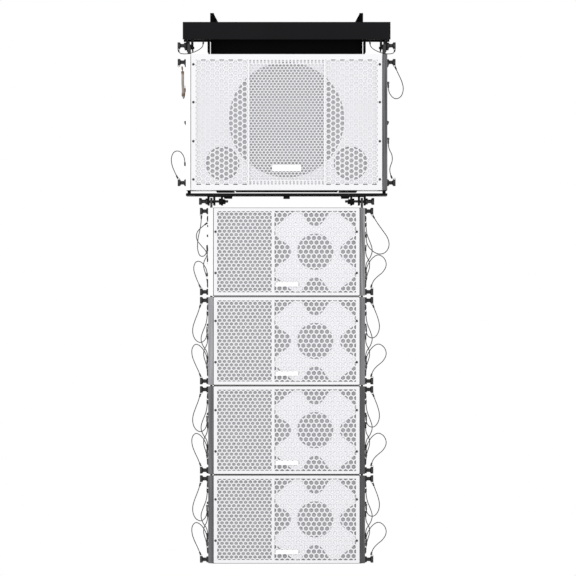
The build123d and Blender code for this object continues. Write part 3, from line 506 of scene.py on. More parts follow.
def lathe(outline, x, z, steps=96):
    """Spin an open (radius, depth) outline about the line through (x, z) along Y."""
    shape = bmesh.new()
    rings = []
    for radius, depth in outline:
        if radius < 1e-6:
            rings.append([shape.verts.new((x, depth, z))] * steps)
            continue
        turns = [2 * math.pi * step / steps for step in range(steps)]
        rings.append([shape.verts.new((x + radius * math.cos(turn), depth,
                                       z + radius * math.sin(turn))) for turn in turns])
    for near, far in zip(rings, rings[1:]):
        for step in range(steps):
            after = (step + 1) % steps
            corners = []
            for vertex in (near[step], near[after], far[after], far[step]):
                if vertex not in corners:
                    corners.append(vertex)
            if len(corners) > 2:
                shape.faces.new(corners)
    return clean(mesh_from(shape, "turned"), smooth=True)


def block(low, high, rounding=0.0):
    """A box between two corners, its edges rounded."""
    shape = bmesh.new()
    bmesh.ops.create_cube(shape, size=1.0)
    size = Vector(high) - Vector(low)
    middle = (Vector(high) + Vector(low)) / 2
    bmesh.ops.transform(shape, matrix=Matrix.Translation(middle) @ Matrix.Diagonal((*size, 1)),
                        verts=shape.verts)
    if rounding:
        bmesh.ops.bevel(shape, geom=shape.edges, offset=rounding, segments=3, affect="EDGES")
    return clean(mesh_from(shape, "block"), smooth=bool(rounding))


# -------- geometry node trees
def socketed_tree(name, inputs):
    """A geometry tree with named inputs, its input node and its output node."""
    tree = bpy.data.node_groups.new(name, "GeometryNodeTree")
    tree.interface.new_socket("Geometry", in_out="INPUT", socket_type="NodeSocketGeometry")
    for label, kind in inputs:
        tree.interface.new_socket(label, in_out="INPUT", socket_type=f"NodeSocket{kind}")
    tree.interface.new_socket("Geometry", in_out="OUTPUT", socket_type="NodeSocketGeometry")
    return tree, tree.nodes.new("NodeGroupInput"), tree.nodes.new("NodeGroupOutput")


def copy_over(tree, given, result, points, cell, weld):
    """Copy the cell object onto points, weld neighbours where asked, and set the material."""
    source = add_node(tree, "GeometryNodeObjectInfo")
    copies = add_node(tree, "GeometryNodeInstanceOnPoints")
    last = add_node(tree, "GeometryNodeRealizeInstances")
    link(tree, (given, cell, source, "Object"), (points, "Geometry", copies, "Points"),
         (source, "Geometry", copies, "Instance"), (copies, "Instances", last, "Geometry"))
    if weld:
        merge = add_node(tree, "GeometryNodeMergeByDistance", {"Distance": 0.00001})
        link(tree, (last, "Geometry", merge, "Geometry"))
        last = merge
    paint = add_node(tree, "GeometryNodeSetMaterial")
    link(tree, (last, "Geometry", paint, "Geometry"), (given, "Material", paint, "Material"),
         (paint, "Geometry", result, "Geometry"))
    return tree


def lattice_tree():
    """Staggered rows of one cell, such as the holes of a perforated sheet."""
    tree, given, result = socketed_tree("perforation", [
        ("Cell", "Object"), ("Columns", "Int"), ("Rows", "Int"), ("Pitch", "Float"),
        ("Row Pitch", "Float"), ("Material", "Material")])
    spans = math_node(tree, "SUBTRACT", (given, "Columns"), 1.0)
    wide = math_node(tree, "MULTIPLY", (spans, 0), (given, "Pitch"))
    gaps = math_node(tree, "SUBTRACT", (given, "Rows"), 1.0)
    high = math_node(tree, "MULTIPLY", (gaps, 0), (given, "Row Pitch"))
    grid = add_node(tree, "GeometryNodeMeshGrid")
    index = add_node(tree, "GeometryNodeInputIndex")
    row = math_node(tree, "MODULO", (index, "Index"), (given, "Rows"))
    odd = math_node(tree, "MODULO", (row, 0), 2.0)
    centred = math_node(tree, "SUBTRACT", (odd, 0), 0.5)
    half = math_node(tree, "MULTIPLY", (centred, 0), (given, "Pitch"))
    shift = math_node(tree, "MULTIPLY", (half, 0), 0.5)
    offset = add_node(tree, "ShaderNodeCombineXYZ")
    moved = add_node(tree, "GeometryNodeSetPosition")
    link(tree, (wide, 0, grid, "Size X"), (high, 0, grid, "Size Y"),
         (given, "Columns", grid, "Vertices X"), (given, "Rows", grid, "Vertices Y"),
         (shift, 0, offset, "X"), (grid, "Mesh", moved, "Geometry"),
         (offset, "Vector", moved, "Offset"))
    return copy_over(tree, given, result, moved, "Cell", weld=True)


def scatter_tree():
    """One copy of a fastener at each vertex of the carrier mesh."""
    tree, given, result = socketed_tree("fasteners", [("Fastener", "Object"),
                                                      ("Material", "Material")])
    return copy_over(tree, given, result, given, "Fastener", weld=False)


def grown(tree_maker, carrier, values):
    """The plain mesh that a geometry tree makes on a carrier mesh."""
    tree = bpy.data.node_groups.get(tree_maker.__name__) or tree_maker()
    tree.name = tree_maker.__name__
    host = place_object("carrier", carrier)
    modifier = host.modifiers.new("nodes", "NODES")
    modifier.node_group = tree
    for item in tree.interface.items_tree:
        if item.in_out == "INPUT" and item.name in values:
            modifier[item.identifier] = values[item.name]
    return as_mesh(host)


def scattered(fastener, points, material):
    """Copies of a fastener mesh, drawn about the origin, at points in the frame."""
    carrier = bpy.data.meshes.new("points")
    carrier.from_pydata([tuple(point) for point in points], [], [])
    tool = place_object("tool", fastener)
    mesh = grown(scatter_tree, carrier, {"Fastener": tool, "Material": finish(material)})
    bpy.data.objects.remove(tool)
    return clean(mesh, smooth=True)


def hexagon_cell(pitch, hole, thick):
    """One hexagonal tile with a hexagonal hole, its front at z = 0, drawn flat."""
    shape = bmesh.new()
    corners = [math.radians(60 * step + 30) for step in range(6)]
    outer = pitch / math.sqrt(3)
    loops = [[shape.verts.new((radius * math.cos(turn), radius * math.sin(turn), -depth))
              for turn in corners]
             for radius, depth in ((outer, 0), (hole, 0), (hole, thick), (outer, thick))]
    for near, far in zip(loops, loops[1:]):
        for step in range(6):
            after = (step + 1) % 6
            shape.faces.new((near[step], near[after], far[after], far[step]))
    return mesh_from(shape, "cell")


def perforation(x, z, half_wide, half_high, pitch, hole, squash=1.0, upright=False):
    """A perforated field that fills a window about (x, z); upright stands its rows on end."""
    sizes = bpy.context.scene.array_sizes
    along, across = (half_high, half_wide) if upright else (half_wide, half_high)
    row_pitch = squash * pitch * math.sqrt(3) / 2
    columns = int(2 * along / pitch) + 2
    rows = int(2 * across / row_pitch) + 2
    cell = hexagon_cell(pitch, hole, sizes.sheet - 0.0004)
    cell.transform(Matrix.Diagonal((1, squash, 1, 1)))
    tool = place_object("tool", cell)
    mesh = grown(lattice_tree, bpy.data.meshes.new("empty"), {
        "Cell": tool, "Columns": columns, "Rows": rows, "Pitch": pitch, "Row Pitch": row_pitch,
        "Material": finish("grille_coat")})
    bpy.data.objects.remove(tool)
    turn = Matrix.Rotation(math.radians(90 if upright else 0), 4, "Z")
    place = Matrix.Translation((x, FRONT + 0.0002, z))
    mesh.transform(place @ FLAT_TO_FRONT @ turn)
    return trimmed(mesh, x, z, half_wide + WINDOW_LAP, half_high + WINDOW_LAP)


def trimmed(mesh, x, z, half_wide, half_high):
    """Cut a field down to a rectangle about (x, z), and close the cut ends."""
    shape = bmesh.new()
    shape.from_mesh(mesh)
    for axis, middle, half in ((0, x, half_wide), (2, z, half_high)):
        for way in (-1, 1):
            outward, edge = Vector(), Vector()
            outward[axis] = way
            edge[axis] = middle + way * half
            cut = bmesh.ops.bisect_plane(shape, geom=[*shape.verts, *shape.edges, *shape.faces],
                                         dist=1e-6, plane_co=edge, plane_no=outward,
                                         clear_outer=True)
            ends = [part for part in cut["geom_cut"] if isinstance(part, bmesh.types.BMEdge)]
            bmesh.ops.edgeloop_fill(shape, edges=ends)
    shape.to_mesh(mesh)
    shape.free()
    return mesh


# -------- grilles
def rim(z, half_wide, half_high, sheet):
    """The folded edge of a grille behind its face."""
    outer = rectangle(0, z, half_wide, half_high, 0.003)
    inner = rectangle(0, z, half_wide - sheet, half_high - sheet, 0.002)
    return plate([outer, inner], 0.0105, FRONT + sheet)


def screw_head(radius, high):
    """A domed screw head with a recessed socket, facing -Y about the origin."""
    outline = [(0, 0), (radius, 0), (radius, -high * 0.4), (radius * 0.75, -high * 0.85),
               (radius * 0.45, -high), (radius * 0.4, -high * 0.5), (0, -high * 0.45)]
    return lathe(outline, 0, 0, 16)


def add_front_trim(prefix, body, z, screws, badge):
    """Grille screws, and a blank badge given as (x, z, half width, half height)."""
    points = [(x, FRONT, z + up) for x, up in screws]
    heads = scattered(screw_head(0.0041, 0.0014), points, "screw_dark")
    add_piece(f"{prefix}_grille_screws", heads, None, body)
    x, up, half_wide, half_high = badge
    blank = plate([rectangle(x, z + up, half_wide, half_high, 0.0015)], 0.0013, FRONT - 0.0012,
                  0.0004)
    add_piece(f"{prefix}_badge", blank, "badge_white", body)


class ARRAY_OT_module_grilles(bpy.types.Operator):
    """Perforated grilles of the modules, fine over the waveguide and hexagonal over the woofer"""

    bl_idname = "array.module_grilles"
    bl_label = "Module grilles"

    def execute(self, context):
        sizes = context.scene.array_sizes
        half_wide, half_high = MODULE_GRILLE_HALF, MODULE_GRILLE_HALF_HIGH
        fine, hexagons = (-0.137, 0.0885, 0.1315), (0.093, 0.1325, 0.1325)   # middle, half sizes
        for body, z in modules():
            windows = [rectangle(x, z, wide, high, 0.002) for x, wide, high in (fine, hexagons)]
            face = plate([rectangle(0, z, half_wide, half_high, 0.003), *windows], sizes.sheet,
                         FRONT, 0.0003)
            fields = [rim(z, half_wide, half_high, sizes.sheet),
                      perforation(fine[0], z, *fine[1:], sizes.fine_pitch, sizes.fine_hole,
                                  sizes.fine_squash),
                      perforation(hexagons[0], z, *hexagons[1:], sizes.hex_pitch, sizes.hex_hole)]
            add_piece(f"{body}_grille_sheet", join([face, *fields]), "grille_coat",
                      body, f"{body}_grille")
            screws = [(x, up) for x in (-0.231, 0.228) for up in (0.065, -0.069)]
            add_front_trim(body, body, z, screws, (0.0005, -0.106, 0.037, 0.007))
        return {"FINISHED"}


class ARRAY_OT_sub_grille(bpy.types.Operator):
    """Perforated grille of the bass cabinet, with two plain ribs and rows of slots"""

    bl_idname = "array.sub_grille"
    bl_label = "Bass grille"

    def execute(self, context):
        sizes = context.scene.array_sizes
        rib, rib_half = 0.124, 0.003
        middle_half, middle_high = rib - rib_half, 0.1885
        side_half, side_high = 0.084, 0.2035
        side_middle = rib + rib_half + side_half
        slots = [rectangle(step * sizes.sub_pitch, SUB_Z + up * 0.1965, 0.0029, 0.0055, 0.001, 2)
                 for step in range(-10, 11) for up in (-1, 1)]
        windows = [rectangle(0, SUB_Z, middle_half, middle_high, 0.002)]
        windows += [rectangle(side * side_middle, SUB_Z, side_half, side_high, 0.002)
                    for side, _ in SIDES]
        face = plate([rectangle(0, SUB_Z, SUB_GRILLE_HALF, SUB_HALF_HIGH, 0.003), *windows, *slots],
                     sizes.sheet, FRONT, 0.0003)
        fields = [rim(SUB_Z, SUB_GRILLE_HALF, SUB_HALF_HIGH, sizes.sheet),
                  perforation(0, SUB_Z, middle_half, middle_high, sizes.sub_pitch,
                              sizes.sub_hole, sizes.fine_squash)]
        fields += [perforation(side * side_middle, SUB_Z, side_half, side_high,
                               sizes.hex_pitch, sizes.hex_hole, upright=True) for side, _ in SIDES]
        add_piece("sub_grille_sheet", join([face, *fields]), "grille_coat",
                  "root", "sub_grille")
        ribs = [block((side * rib - 0.0032, FRONT - 0.0012, SUB_Z - side_high),
                      (side * rib + 0.0032, FRONT + 0.0002, SUB_Z + side_high), 0.0005)
                for side, _ in SIDES]
        add_piece("sub_grille_ribs", join(ribs), "grille_coat", "root")
        screws = [(side * 0.303, up) for side, _ in SIDES for up in (0.188, 0.065, -0.062, -0.186)]
        add_front_trim("sub", "root", SUB_Z, screws, (0, -0.149, 0.047, 0.0105))
        return {"FINISHED"}


# -------- behind the grilles
def phase_outline(x, z):
    """Outline of the four-armed plate before a woofer, with a round-nosed bite in each side."""
    half, nose = 0.131, 0.030
    outline = []
    for turn in range(4):
        corner, wide, deep = (0.070, 0.0485, 0.0470) if turn % 2 == 0 else (0.080, 0.0530, 0.0515)
        reach = math.hypot(wide, deep - nose)
        lean = math.degrees(math.acos(nose / reach) - math.atan2(deep - nose, wide))
        edge = [(-corner, half), (-wide, half)]
        edge += arc(0, half - deep + nose, nose, 180 + lean, 360 - lean, 14)
        edge += [(wide, half), (corner, half)]
        quarter = -math.pi / 2 * turn
        for across, up in edge:
            outline.append((x + across * math.cos(quarter) - up * math.sin(quarter),
                            z + across * math.sin(quarter) + up * math.cos(quarter)))
    return outline


class ARRAY_OT_phase_plates(bpy.types.Operator):
    """White phase plates and dark baffle boards of the modules"""

    bl_idname = "array.phase_plates"
    bl_label = "Phase plates"

    def execute(self, context):
        front = FRONT + context.scene.array_sizes.backing_gap
        for body, z in modules():
            shape = plate([phase_outline(PHASE_X, z), circle(PHASE_X, z, 0.0585)], 0.003, front,
                          0.0006)
            add_piece(f"{body}_phase_plate", shape, "backing_white", body,
                      f"{body}_baffle")
            # Painted shade: a grey sheet behind each field hides woofer and waveguide and stands in
            # for the shaded cavity.
            for name, x, half_wide, tone in (("woofer", 0.095, 0.1365, "scrim_grey"),
                                             ("horn", -0.1365, 0.0945, "scrim_deep")):
                cavity_sheet = plate([rectangle(x, z, half_wide, 0.1375)], 0.0012, front + 0.0031)
                add_piece(f"{body}_{name}_scrim", cavity_sheet, tone, body)
            board = plate([rectangle(0, z, 0.2235, 0.1238), circle(WOOFER_X, z, WOOFER_CUT),
                           rectangle(-0.137, z, 0.084, 0.122)], BAFFLE_THICK, BAFFLE_FRONT)
            add_piece(f"{body}_baffle_board", board, "board_dark", body)
        return {"FINISHED"}


class ARRAY_OT_sub_backing(bpy.types.Operator):
    """White backing foam of the bass grille, open before the driver and both ports"""

    bl_idname = "array.sub_backing"
    bl_label = "Bass backing"

    def execute(self, context):
        front = FRONT + context.scene.array_sizes.backing_gap
        outlines = [rectangle(0, SUB_Z, 0.293, 0.2015, 0.004),
                    circle(0, SUB_DRIVER_Z, 0.187, 96)]
        outlines += [circle(side * PORT_X, PORT_Z, 0.0545, 48) for side, _ in SIDES]
        foam = plate(outlines, 0.004, front, 0.0008)
        # Painted shade: grey sheets over driver, middle panel and ports stand in for the shaded cavity
        # behind the grille.
        driver_sheet = plate([circle(0, SUB_DRIVER_Z, 0.196, 96)], 0.0012, front + 0.0050)
        half_wide, reach = 0.122, 0.194                       # of the middle sheet's flat sides and arcs
        turn = math.degrees(math.acos(half_wide / reach))
        middle = arc(0, SUB_DRIVER_Z, reach, turn, 180 - turn, 40)
        middle += arc(0, SUB_DRIVER_Z, reach, 180 + turn, 360 - turn, 40)
        middle_sheet = plate([middle], 0.0008, front + 0.0041)
        port_sheets = join([plate([circle(side * PORT_X, PORT_Z, 0.059, 48)], 0.0012,
                                 front + 0.0065) for side, _ in SIDES])
        for name, mesh, material in (("foam", foam, "foam_white"),
                                     ("driver_scrim", driver_sheet, "scrim_light"),
                                     ("middle_scrim", middle_sheet, "scrim_deep"),
                                     ("port_scrims", port_sheets, "scrim_light")):
            add_piece(f"sub_{name}", mesh, material, "root")
        return {"FINISHED"}


def cone_shape(x, z, front, cut):
    """The paper cone and dust cap, then the half-roll surround, of one driver."""
    paper = [(0, front + 0.17 * cut), (0.10 * cut, front + 0.175 * cut),
             (0.19 * cut, front + 0.20 * cut), (0.25 * cut, front + 0.25 * cut),
             (0.30 * cut, front + 0.34 * cut), (0.55 * cut, front + 0.17 * cut),
             (cut - 0.021, front + 0.004), (cut - 0.020, front + 0.006),
             (0.55 * cut, front + 0.19 * cut), (0.30 * cut, front + 0.37 * cut),
             (0.24 * cut, front + 0.37 * cut), (0.24 * cut, front + 0.45 * cut),
             (0, front + 0.45 * cut)]
    roll_middle = cut - 0.0165
    roll = [(roll_middle + 0.0045 * math.cos(math.radians(turn)),
             front + 0.004 - 0.004 * math.sin(math.radians(turn))) for turn in range(180, -1, -20)]
    roll += [(roll_middle + 0.0045, front + 0.0055), (roll_middle - 0.0045, front + 0.0055)]
    return lathe(paper, x, z), lathe(roll + roll[:1], x, z)


class ARRAY_OT_cones(bpy.types.Operator):
    """Cones and surrounds of the woofers, which travel on their springs"""

    bl_idname = "array.cones"
    bl_label = "Cones"

    def execute(self, context):
        drivers = [("sub", 0.0, SUB_DRIVER_Z, SUB_CUT)]
        drivers += [(body, WOOFER_X, z, WOOFER_CUT) for body, z in modules()]
        for prefix, x, z, cut in drivers:
            paper, roll = cone_shape(x, z, CONE_FRONT, cut)
            body = f"{prefix}_cone"
            add_piece(f"{prefix}_paper_cone", paper, "cone_paper", body, body)
            add_piece(f"{prefix}_surround", roll, "surround_rubber", body)
        return {"FINISHED"}


# -------- rigging and rear
class ARRAY_OT_frame_finishes(bpy.types.Operator):
    """Finishes of the frames, cabinets, side trays, links, pins and bolts"""

    bl_idname = "array.frame_finishes"
    bl_label = "Frame finishes"

    def execute(self, context):
        finishes = {"fly_frame": "frame_powder", "pickup_rails": "rail_powder",
                    "adapter_frame": "frame_powder", "adapter_ears": "frame_powder",
                    "head_links": "link_steel", "sub_cabinet": "cabinet_paint",
                    # tray_sub and the module tray finishes carry painted light, shade and reflection.
                    "sub_side_plates": "tray_sub", "sub_baffle": "board_dark",
                    "sub_woofer": "basket_black", "sub_jack_plate": "frame_powder",
                    "head_left_pins": "pin_black", "head_right_pins": "pin_black",
                    "rear_bolts": "pin_black"}
        for number in MODULES:
            prefix = f"module_{number}_"
            finishes.update({prefix + "cabinet": "cabinet_paint", prefix + "links": "link_steel",
                             prefix + "side_plates": f"tray_{number}",
                             prefix + "woofer": "basket_black",
                             prefix + "waveguide": "waveguide_plastic",
                             prefix + "left_pins": "pin_black",
                             prefix + "right_pins": "pin_black"})
        for node, name in finishes.items():
            repaint(node, name)
        return {"FINISHED"}


def ring(radius, thick, steps=16, sides=6):
    """A split ring standing in the XZ plane about the origin."""
    return lathe([(radius + thick * math.cos(turn), thick * math.sin(turn))
                  for turn in [2 * math.pi * step / sides for step in range(sides + 1)]],
                 0, 0, steps)


def side_bolt(side):
    """A hexagon bolt head on a washer, facing outboard about the origin."""
    washer = lathe([(0, 0), (0.0058, 0), (0.0058, 0.0010), (0.0052, 0.0012), (0, 0.0012)], 0, 0, 24)
    head = lathe([(0, 0.0012), (0.0044, 0.0012), (0.0044, 0.0046), (0.0038, 0.0052), (0, 0.0052)],
                 0, 0, 6)
    mesh = join([washer, head])
    mesh.transform(Matrix.Rotation(math.radians(-90 * side), 4, "Z"))
    return mesh


def add_rings(prefix, side_name, points):
    """The lanyard rings of one row of pins, which travel with them."""
    rings = scattered(ring(0.0032, 0.0006), points, "link_steel")
    add_piece(f"{prefix}_{side_name}_rings", rings, None,
              f"{prefix}_{side_name}_pins")


def add_tray_bolts(prefix, body, side, side_name, face, z, spots):
    """The bolts of one side tray, at (depth, height) spots about the height z."""
    points = [(side * face, y, z + up) for y, up in spots]
    bolts = scattered(side_bolt(side), points, "screw_dark")
    add_piece(f"{prefix}_{side_name}_tray_bolts", bolts, None, body)


class ARRAY_OT_rings_and_bolts(bpy.types.Operator):
    """Lanyard rings on the pins, and the bolts that hold the side trays"""

    bl_idname = "array.rings_and_bolts"
    bl_label = "Rings and bolts"

    def execute(self, context):
        module_spots = [(-0.185, 0.108), (-0.180, 0.052), (-0.185, -0.097), (0.02, 0.085),
                        (0.02, -0.085), (-0.06, 0.105), (-0.06, -0.105)]
        sub_spots = [(y, up) for y in (-0.26, -0.1, 0.08, 0.25) for up in (0.19, 0.0, -0.19)]
        for body, z in modules():
            for side, side_name in SIDES:
                points = [(side * (PLATE_FACE + (RING_OUT if index < 2 else REAR_RING_OUT)), y,
                           height + (RING_OFF if index % 2 else -RING_OFF))
                          for index, (y, height) in enumerate(module_pins(z))]
                add_rings(body, side_name, points)
                add_tray_bolts(body, body, side, side_name, PLATE_FACE, z, module_spots)
        for side, side_name in SIDES:
            upper, lower = SUB_PIN_HEIGHTS
            points = [(side * (face + RING_OUT), SUB_PIN_DEPTH, height)
                      for face, height in ((FLY_FACE, FLY_PIN_HEIGHT - RING_OFF),
                                           (SUB_FACE, upper - RING_OFF),
                                           (SUB_FACE, lower + RING_OFF))]
            add_rings("head", side_name, points)
            add_tray_bolts("sub", "root", side, side_name, SUB_FACE, SUB_Z, sub_spots)
        return {"FINISHED"}


def mirrored_block(side, near, far, rounding):
    """A block between two corners given for the right side, or its mirror image on the left."""
    edges = sorted((side * near[0], side * far[0]))
    return block((edges[0], *near[1:]), (edges[1], *far[1:]), rounding)


class ARRAY_OT_hooks(bpy.types.Operator):
    """Hanging tabs beside the cross beams, and retaining nuts on the long adapter pins"""

    bl_idname = "array.hooks"
    bl_label = "Hooks and retainers"

    def execute(self, context):
        bar_low = SUB_HIGH.z + 0.0475
        tabs = [mirrored_block(side, (0.2515, y, bar_low - 0.042),
                               (0.2575, y + 0.040, bar_low + 0.001), 0.001)
                for side, _ in SIDES for y in (-0.240, 0.200)]
        add_piece("fly_frame_tabs", join(tabs), "rail_powder", "root")
        ears_low, ears_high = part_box("adapter_ears")
        pin_z = ears_low.z + 0.012
        parts = []
        for side, _ in SIDES:
            for y in PIN_DEPTHS:
                nut = lathe([(0, 0), (0.0095, 0), (0.0095, 0.0065), (0, 0.0065)], 0, 0, 24)
                spacer = lathe([(0, 0), (0.0085, 0), (0.0085, 0.0060), (0.0070, 0.0085),
                                (0, 0.0085)], 0, 0, 6)
                for mesh, x, turn in ((nut, 0.214, -90), (spacer, 0.208, 90)):
                    mesh.transform(Matrix.Rotation(math.radians(turn * side), 4, "Z"))
                    mesh.transform(Matrix.Translation((side * x, y, pin_z)))
                    parts.append(mesh)
                parts.append(mirrored_block(side, (0.178, y - 0.010, ears_high.z - 0.0085),
                                            (0.204, y + 0.010, ears_high.z + 0.0005), 0.0008))
        add_piece("adapter_retainers", join(parts), "frame_powder", "root")
        return {"FINISHED"}


def connector(x, z, face):
    """A round locking loudspeaker socket with its flange, on a face that looks along +Y."""
    return lathe([(0, face), (0.0145, face), (0.0145, face + 0.0016), (0.0135, face + 0.002),
                  (0.0122, face + 0.002), (0.0118, face + 0.0006), (0.0085, face + 0.0006),
                  (0.0082, face + 0.0018), (0.0045, face + 0.0018), (0.004, face + 0.0006),
                  (0, face + 0.0006)], x, z, 32)


class ARRAY_OT_rear_panels(bpy.types.Operator):
    """Connector plates in the backs of the modules"""

    bl_idname = "array.rear_panels"
    bl_label = "Rear panels"

    def execute(self, context):
        face = MODULE_BACK - 0.001
        for body, z in modules():
            panel = plate([rectangle(0, z, 0.0885, 0.0485, 0.004)], 0.002, face - 0.002, 0.0004)
            sockets = join([connector(x, z, face - 0.0012) for x in (-0.03, 0.03)])
            head = screw_head(0.0035, 0.0009)
            head.transform(Matrix.Rotation(math.pi, 4, "Z"))
            corners = [(x, face, z + up) for x in (-0.08, 0.08) for up in (-0.04, 0.04)]
            screws = scattered(head, corners, "screw_dark")
            for name, mesh, material, slot in (
                    ("jack_panel", panel, "frame_powder", "jack_plate"),
                    ("sockets", sockets, "pin_black", "jack_plate"),
                    ("panel_screws", screws, None, "bolt_black")):
                add_piece(f"{body}_{name}", mesh, material, body)
        return {"FINISHED"}


class ARRAY_OT_seals(bpy.types.Operator):
    """Black strips round the module grilles and in the gaps between modules, painted shade for the
    shadow there
    """

    bl_idname = "array.seals"
    bl_label = "Seals"

    def execute(self, context):
        half_wide, half_high = MODULE_GRILLE_HALF, MODULE_GRILLE_HALF_HIGH
        for body, z in modules():
            # Painted shade: a black ring round each grille and a strip under it fill gaps where shadow
            # falls.
            parts = [plate([rectangle(0, z, half_wide + 0.0018, half_high + 0.0014),
                            rectangle(0, z, half_wide + 0.0002, half_high + 0.0002)],
                           0.006, FRONT + 0.0012)]
            if body != f"module_{MODULES[-1]}":
                bottom = z - half_high - 0.0015
                parts.append(block((-half_wide, FRONT + 0.002, bottom - 0.0026),
                                   (half_wide, FRONT + 0.026, bottom - 0.0001), 0.0006))
            add_piece(f"{body}_seals", join(parts), "foot_rubber", body)
        return {"FINISHED"}


class ARRAY_OT_sub_skids(bpy.types.Operator):
    """Rubber skids under the bass cabinet; the long middle one also stands in as painted shade for the
    shadow line under it
    """

    bl_idname = "array.sub_skids"
    bl_label = "Bass skids"

    def execute(self, context):
        skids = []
        # The long middle strip's black is painted shade for the shadow line under the cabinet; the
        # short ones are rubber feet.
        for x, half_wide, high in ((0.0, 0.168, 0.0036), (-0.2, 0.03, 0.005), (0.2, 0.03, 0.005)):
            for depth in (FRONT + 0.03, SUB_BACK - 0.06):
                skids.append(block((x - half_wide, depth, SUB_LOW.z - high),
                                   (x + half_wide, depth + 0.03, SUB_LOW.z), 0.0015))
        add_piece("sub_skids", join(skids), "foot_rubber", "root")
        return {"FINISHED"}


# -------- lanyards
def smooth_path(points):
    """Points of a smooth spline whose control points are a route's points."""
    line = bpy.data.curves.new("route", "CURVE")
    line.dimensions = "3D"
    line.resolution_u = 10
    spline = line.splines.new("NURBS")
    spline.points.add(len(points) - 1)
    for point, spot in zip(spline.points, points):
        point.co = (*spot, 1)
    spline.order_u = 3
    spline.use_endpoint_u = True
    mesh = as_mesh(place_object("route", line))
    path = [vertex.co.copy() for vertex in mesh.vertices]
    bpy.data.meshes.remove(mesh)
    return path


def path_length(path):
    """Length along a path."""
    return sum((after - before).length for before, after in zip(path, path[1:]))


def tube(path, radius, sides=8):
    """A round tube along a path, closed at both ends, with a UV map that runs along it."""
    shape = bmesh.new()
    layer = shape.loops.layers.uv.new("UVMap")
    tangents = [(path[min(step + 1, len(path) - 1)] - path[max(step - 1, 0)]).normalized()
                for step in range(len(path))]
    side = tangents[0].orthogonal().normalized()
    rings, lengths = [], [0.0]
    for step, (point, tangent) in enumerate(zip(path, tangents)):
        side = (side - tangent * side.dot(tangent)).normalized()
        up = tangent.cross(side)
        turns = [2 * math.pi * turn / sides for turn in range(sides)]
        rings.append([shape.verts.new(point + (side * math.cos(turn) + up * math.sin(turn)) * radius)
                      for turn in turns])
        if step:
            lengths.append(lengths[-1] + (point - path[step - 1]).length)
    for step, (near, far) in enumerate(zip(rings, rings[1:])):
        for turn in range(sides):
            after = (turn + 1) % sides
            face = shape.faces.new((near[turn], near[after], far[after], far[turn]))
            face.smooth = True
            marks = ((turn, step), (turn + 1, step), (turn + 1, step + 1), (turn, step + 1))
            for corner, (around, along) in zip(face.loops, marks):
                corner[layer].uv = (around / sides, lengths[along] / (4 * radius))
    shape.faces.new(rings[0][::-1])
    shape.faces.new(rings[-1])
    return mesh_from(shape, "tube")


def stretch_of(path, start, end):
    """The part of a path between two lengths measured from its start, or from its end if negative."""
    total = path_length(path)
    start, end = (value if value >= 0 else total + value for value in (start, end))
    kept, walked = [], 0.0
    for before, after in zip(path, path[1:]):
        run = (after - before).length
        for mark in (start, end):
            if walked <= mark < walked + run:
                kept.append(before.lerp(after, (mark - walked) / run))
        if start < walked + run < end:
            kept.append(after.copy())
        walked += run
    return kept


def add_lanyard(name, node, side, pin, route, sleeve="crimp_black"):
    """A wire lanyard from a pin to its lug: pin is (face, depth, height)."""
    wire = bpy.context.scene.array_sizes.wire
    face, depth, height = pin
    points = [Vector((side * (face + out * MM), depth + back * MM, height + up * MM))
              for out, back, up in route]
    path = smooth_path(points)
    piece = place_object(name, tube(path, wire / 2), "wire_sleeve")
    crimps = [(0.001, 0.011, 0.95), (-0.012, -0.0005, 0.95)]        # start, end, radius in wires
    if sleeve == "copper_sleeve":
        crimps += [(0.016, 0.024, 1.7), (0.088, 0.098, 1.7)]
    ends = join([tube(stretch_of(path, start, end), wire * wide) for start, end, wide in crimps])
    extra = [place_object(f"{name}_crimps", ends, sleeve)]
    if sleeve == "copper_sleeve":
        cover = tube(stretch_of(path, 0.023, 0.089), wire * 1.6, 12)
        extra.append(place_object(f"{name}_sleeve", cover, "sleeve_tan"))
    for part in (piece, *extra):
        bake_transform(part)
    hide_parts(node)


class ARRAY_OT_lanyards(bpy.types.Operator):
    """Wire lanyards of the quick-release pins"""

    bl_idname = "array.lanyards"
    bl_label = "Lanyards"

    def execute(self, context):
        first = {(-1, 0): FIRST_LEFT_TOP, (-1, 1): FIRST_LEFT_BOTTOM, (-1, 2): FIRST_REAR_TOP,
                 (1, 0): FIRST_RIGHT_TOP}
        usual = {(-1, 0): LEFT_TOP, (-1, 1): LEFT_BOTTOM, (1, 0): RIGHT_TOP, (1, 1): RIGHT_BOTTOM}
        places = ("top_front", "bottom_front", "top_rear", "bottom_rear")
        for body, z in modules():
            for side, side_name in SIDES:
                for index, (depth, height) in enumerate(module_pins(z)):
                    route = usual.get((side, index), REAR_TOP if index == 2 else REAR_BOTTOM)
                    if body == "module_1":
                        route = first.get((side, index), route)
                    add_lanyard(f"{body}_{side_name}_{places[index]}_lanyard",
                                f"{body}_lanyards", side,
                                (PLATE_FACE, depth, height), route)
        upper, lower = SUB_PIN_HEIGHTS
        for side, side_name, top, bottom in ((-1, "left", SUB_LEFT_TOP, SUB_LEFT_BOTTOM),
                                             (1, "right", SUB_RIGHT_TOP, SUB_RIGHT_BOTTOM)):
            copper = "copper_sleeve" if side < 0 else "crimp_black"
            add_lanyard(f"fly_{side_name}_lanyard", "head_lanyards", side,
                        (FLY_FACE, SUB_PIN_DEPTH, FLY_PIN_HEIGHT), FLY_LANYARD)
            add_lanyard(f"sub_{side_name}_top_lanyard", "head_lanyards", side,
                        (SUB_FACE, SUB_PIN_DEPTH, upper), top, copper)
            add_lanyard(f"sub_{side_name}_bottom_lanyard", "head_lanyards", side,
                        (SUB_FACE, SUB_PIN_DEPTH, lower), bottom)
        return {"FINISHED"}


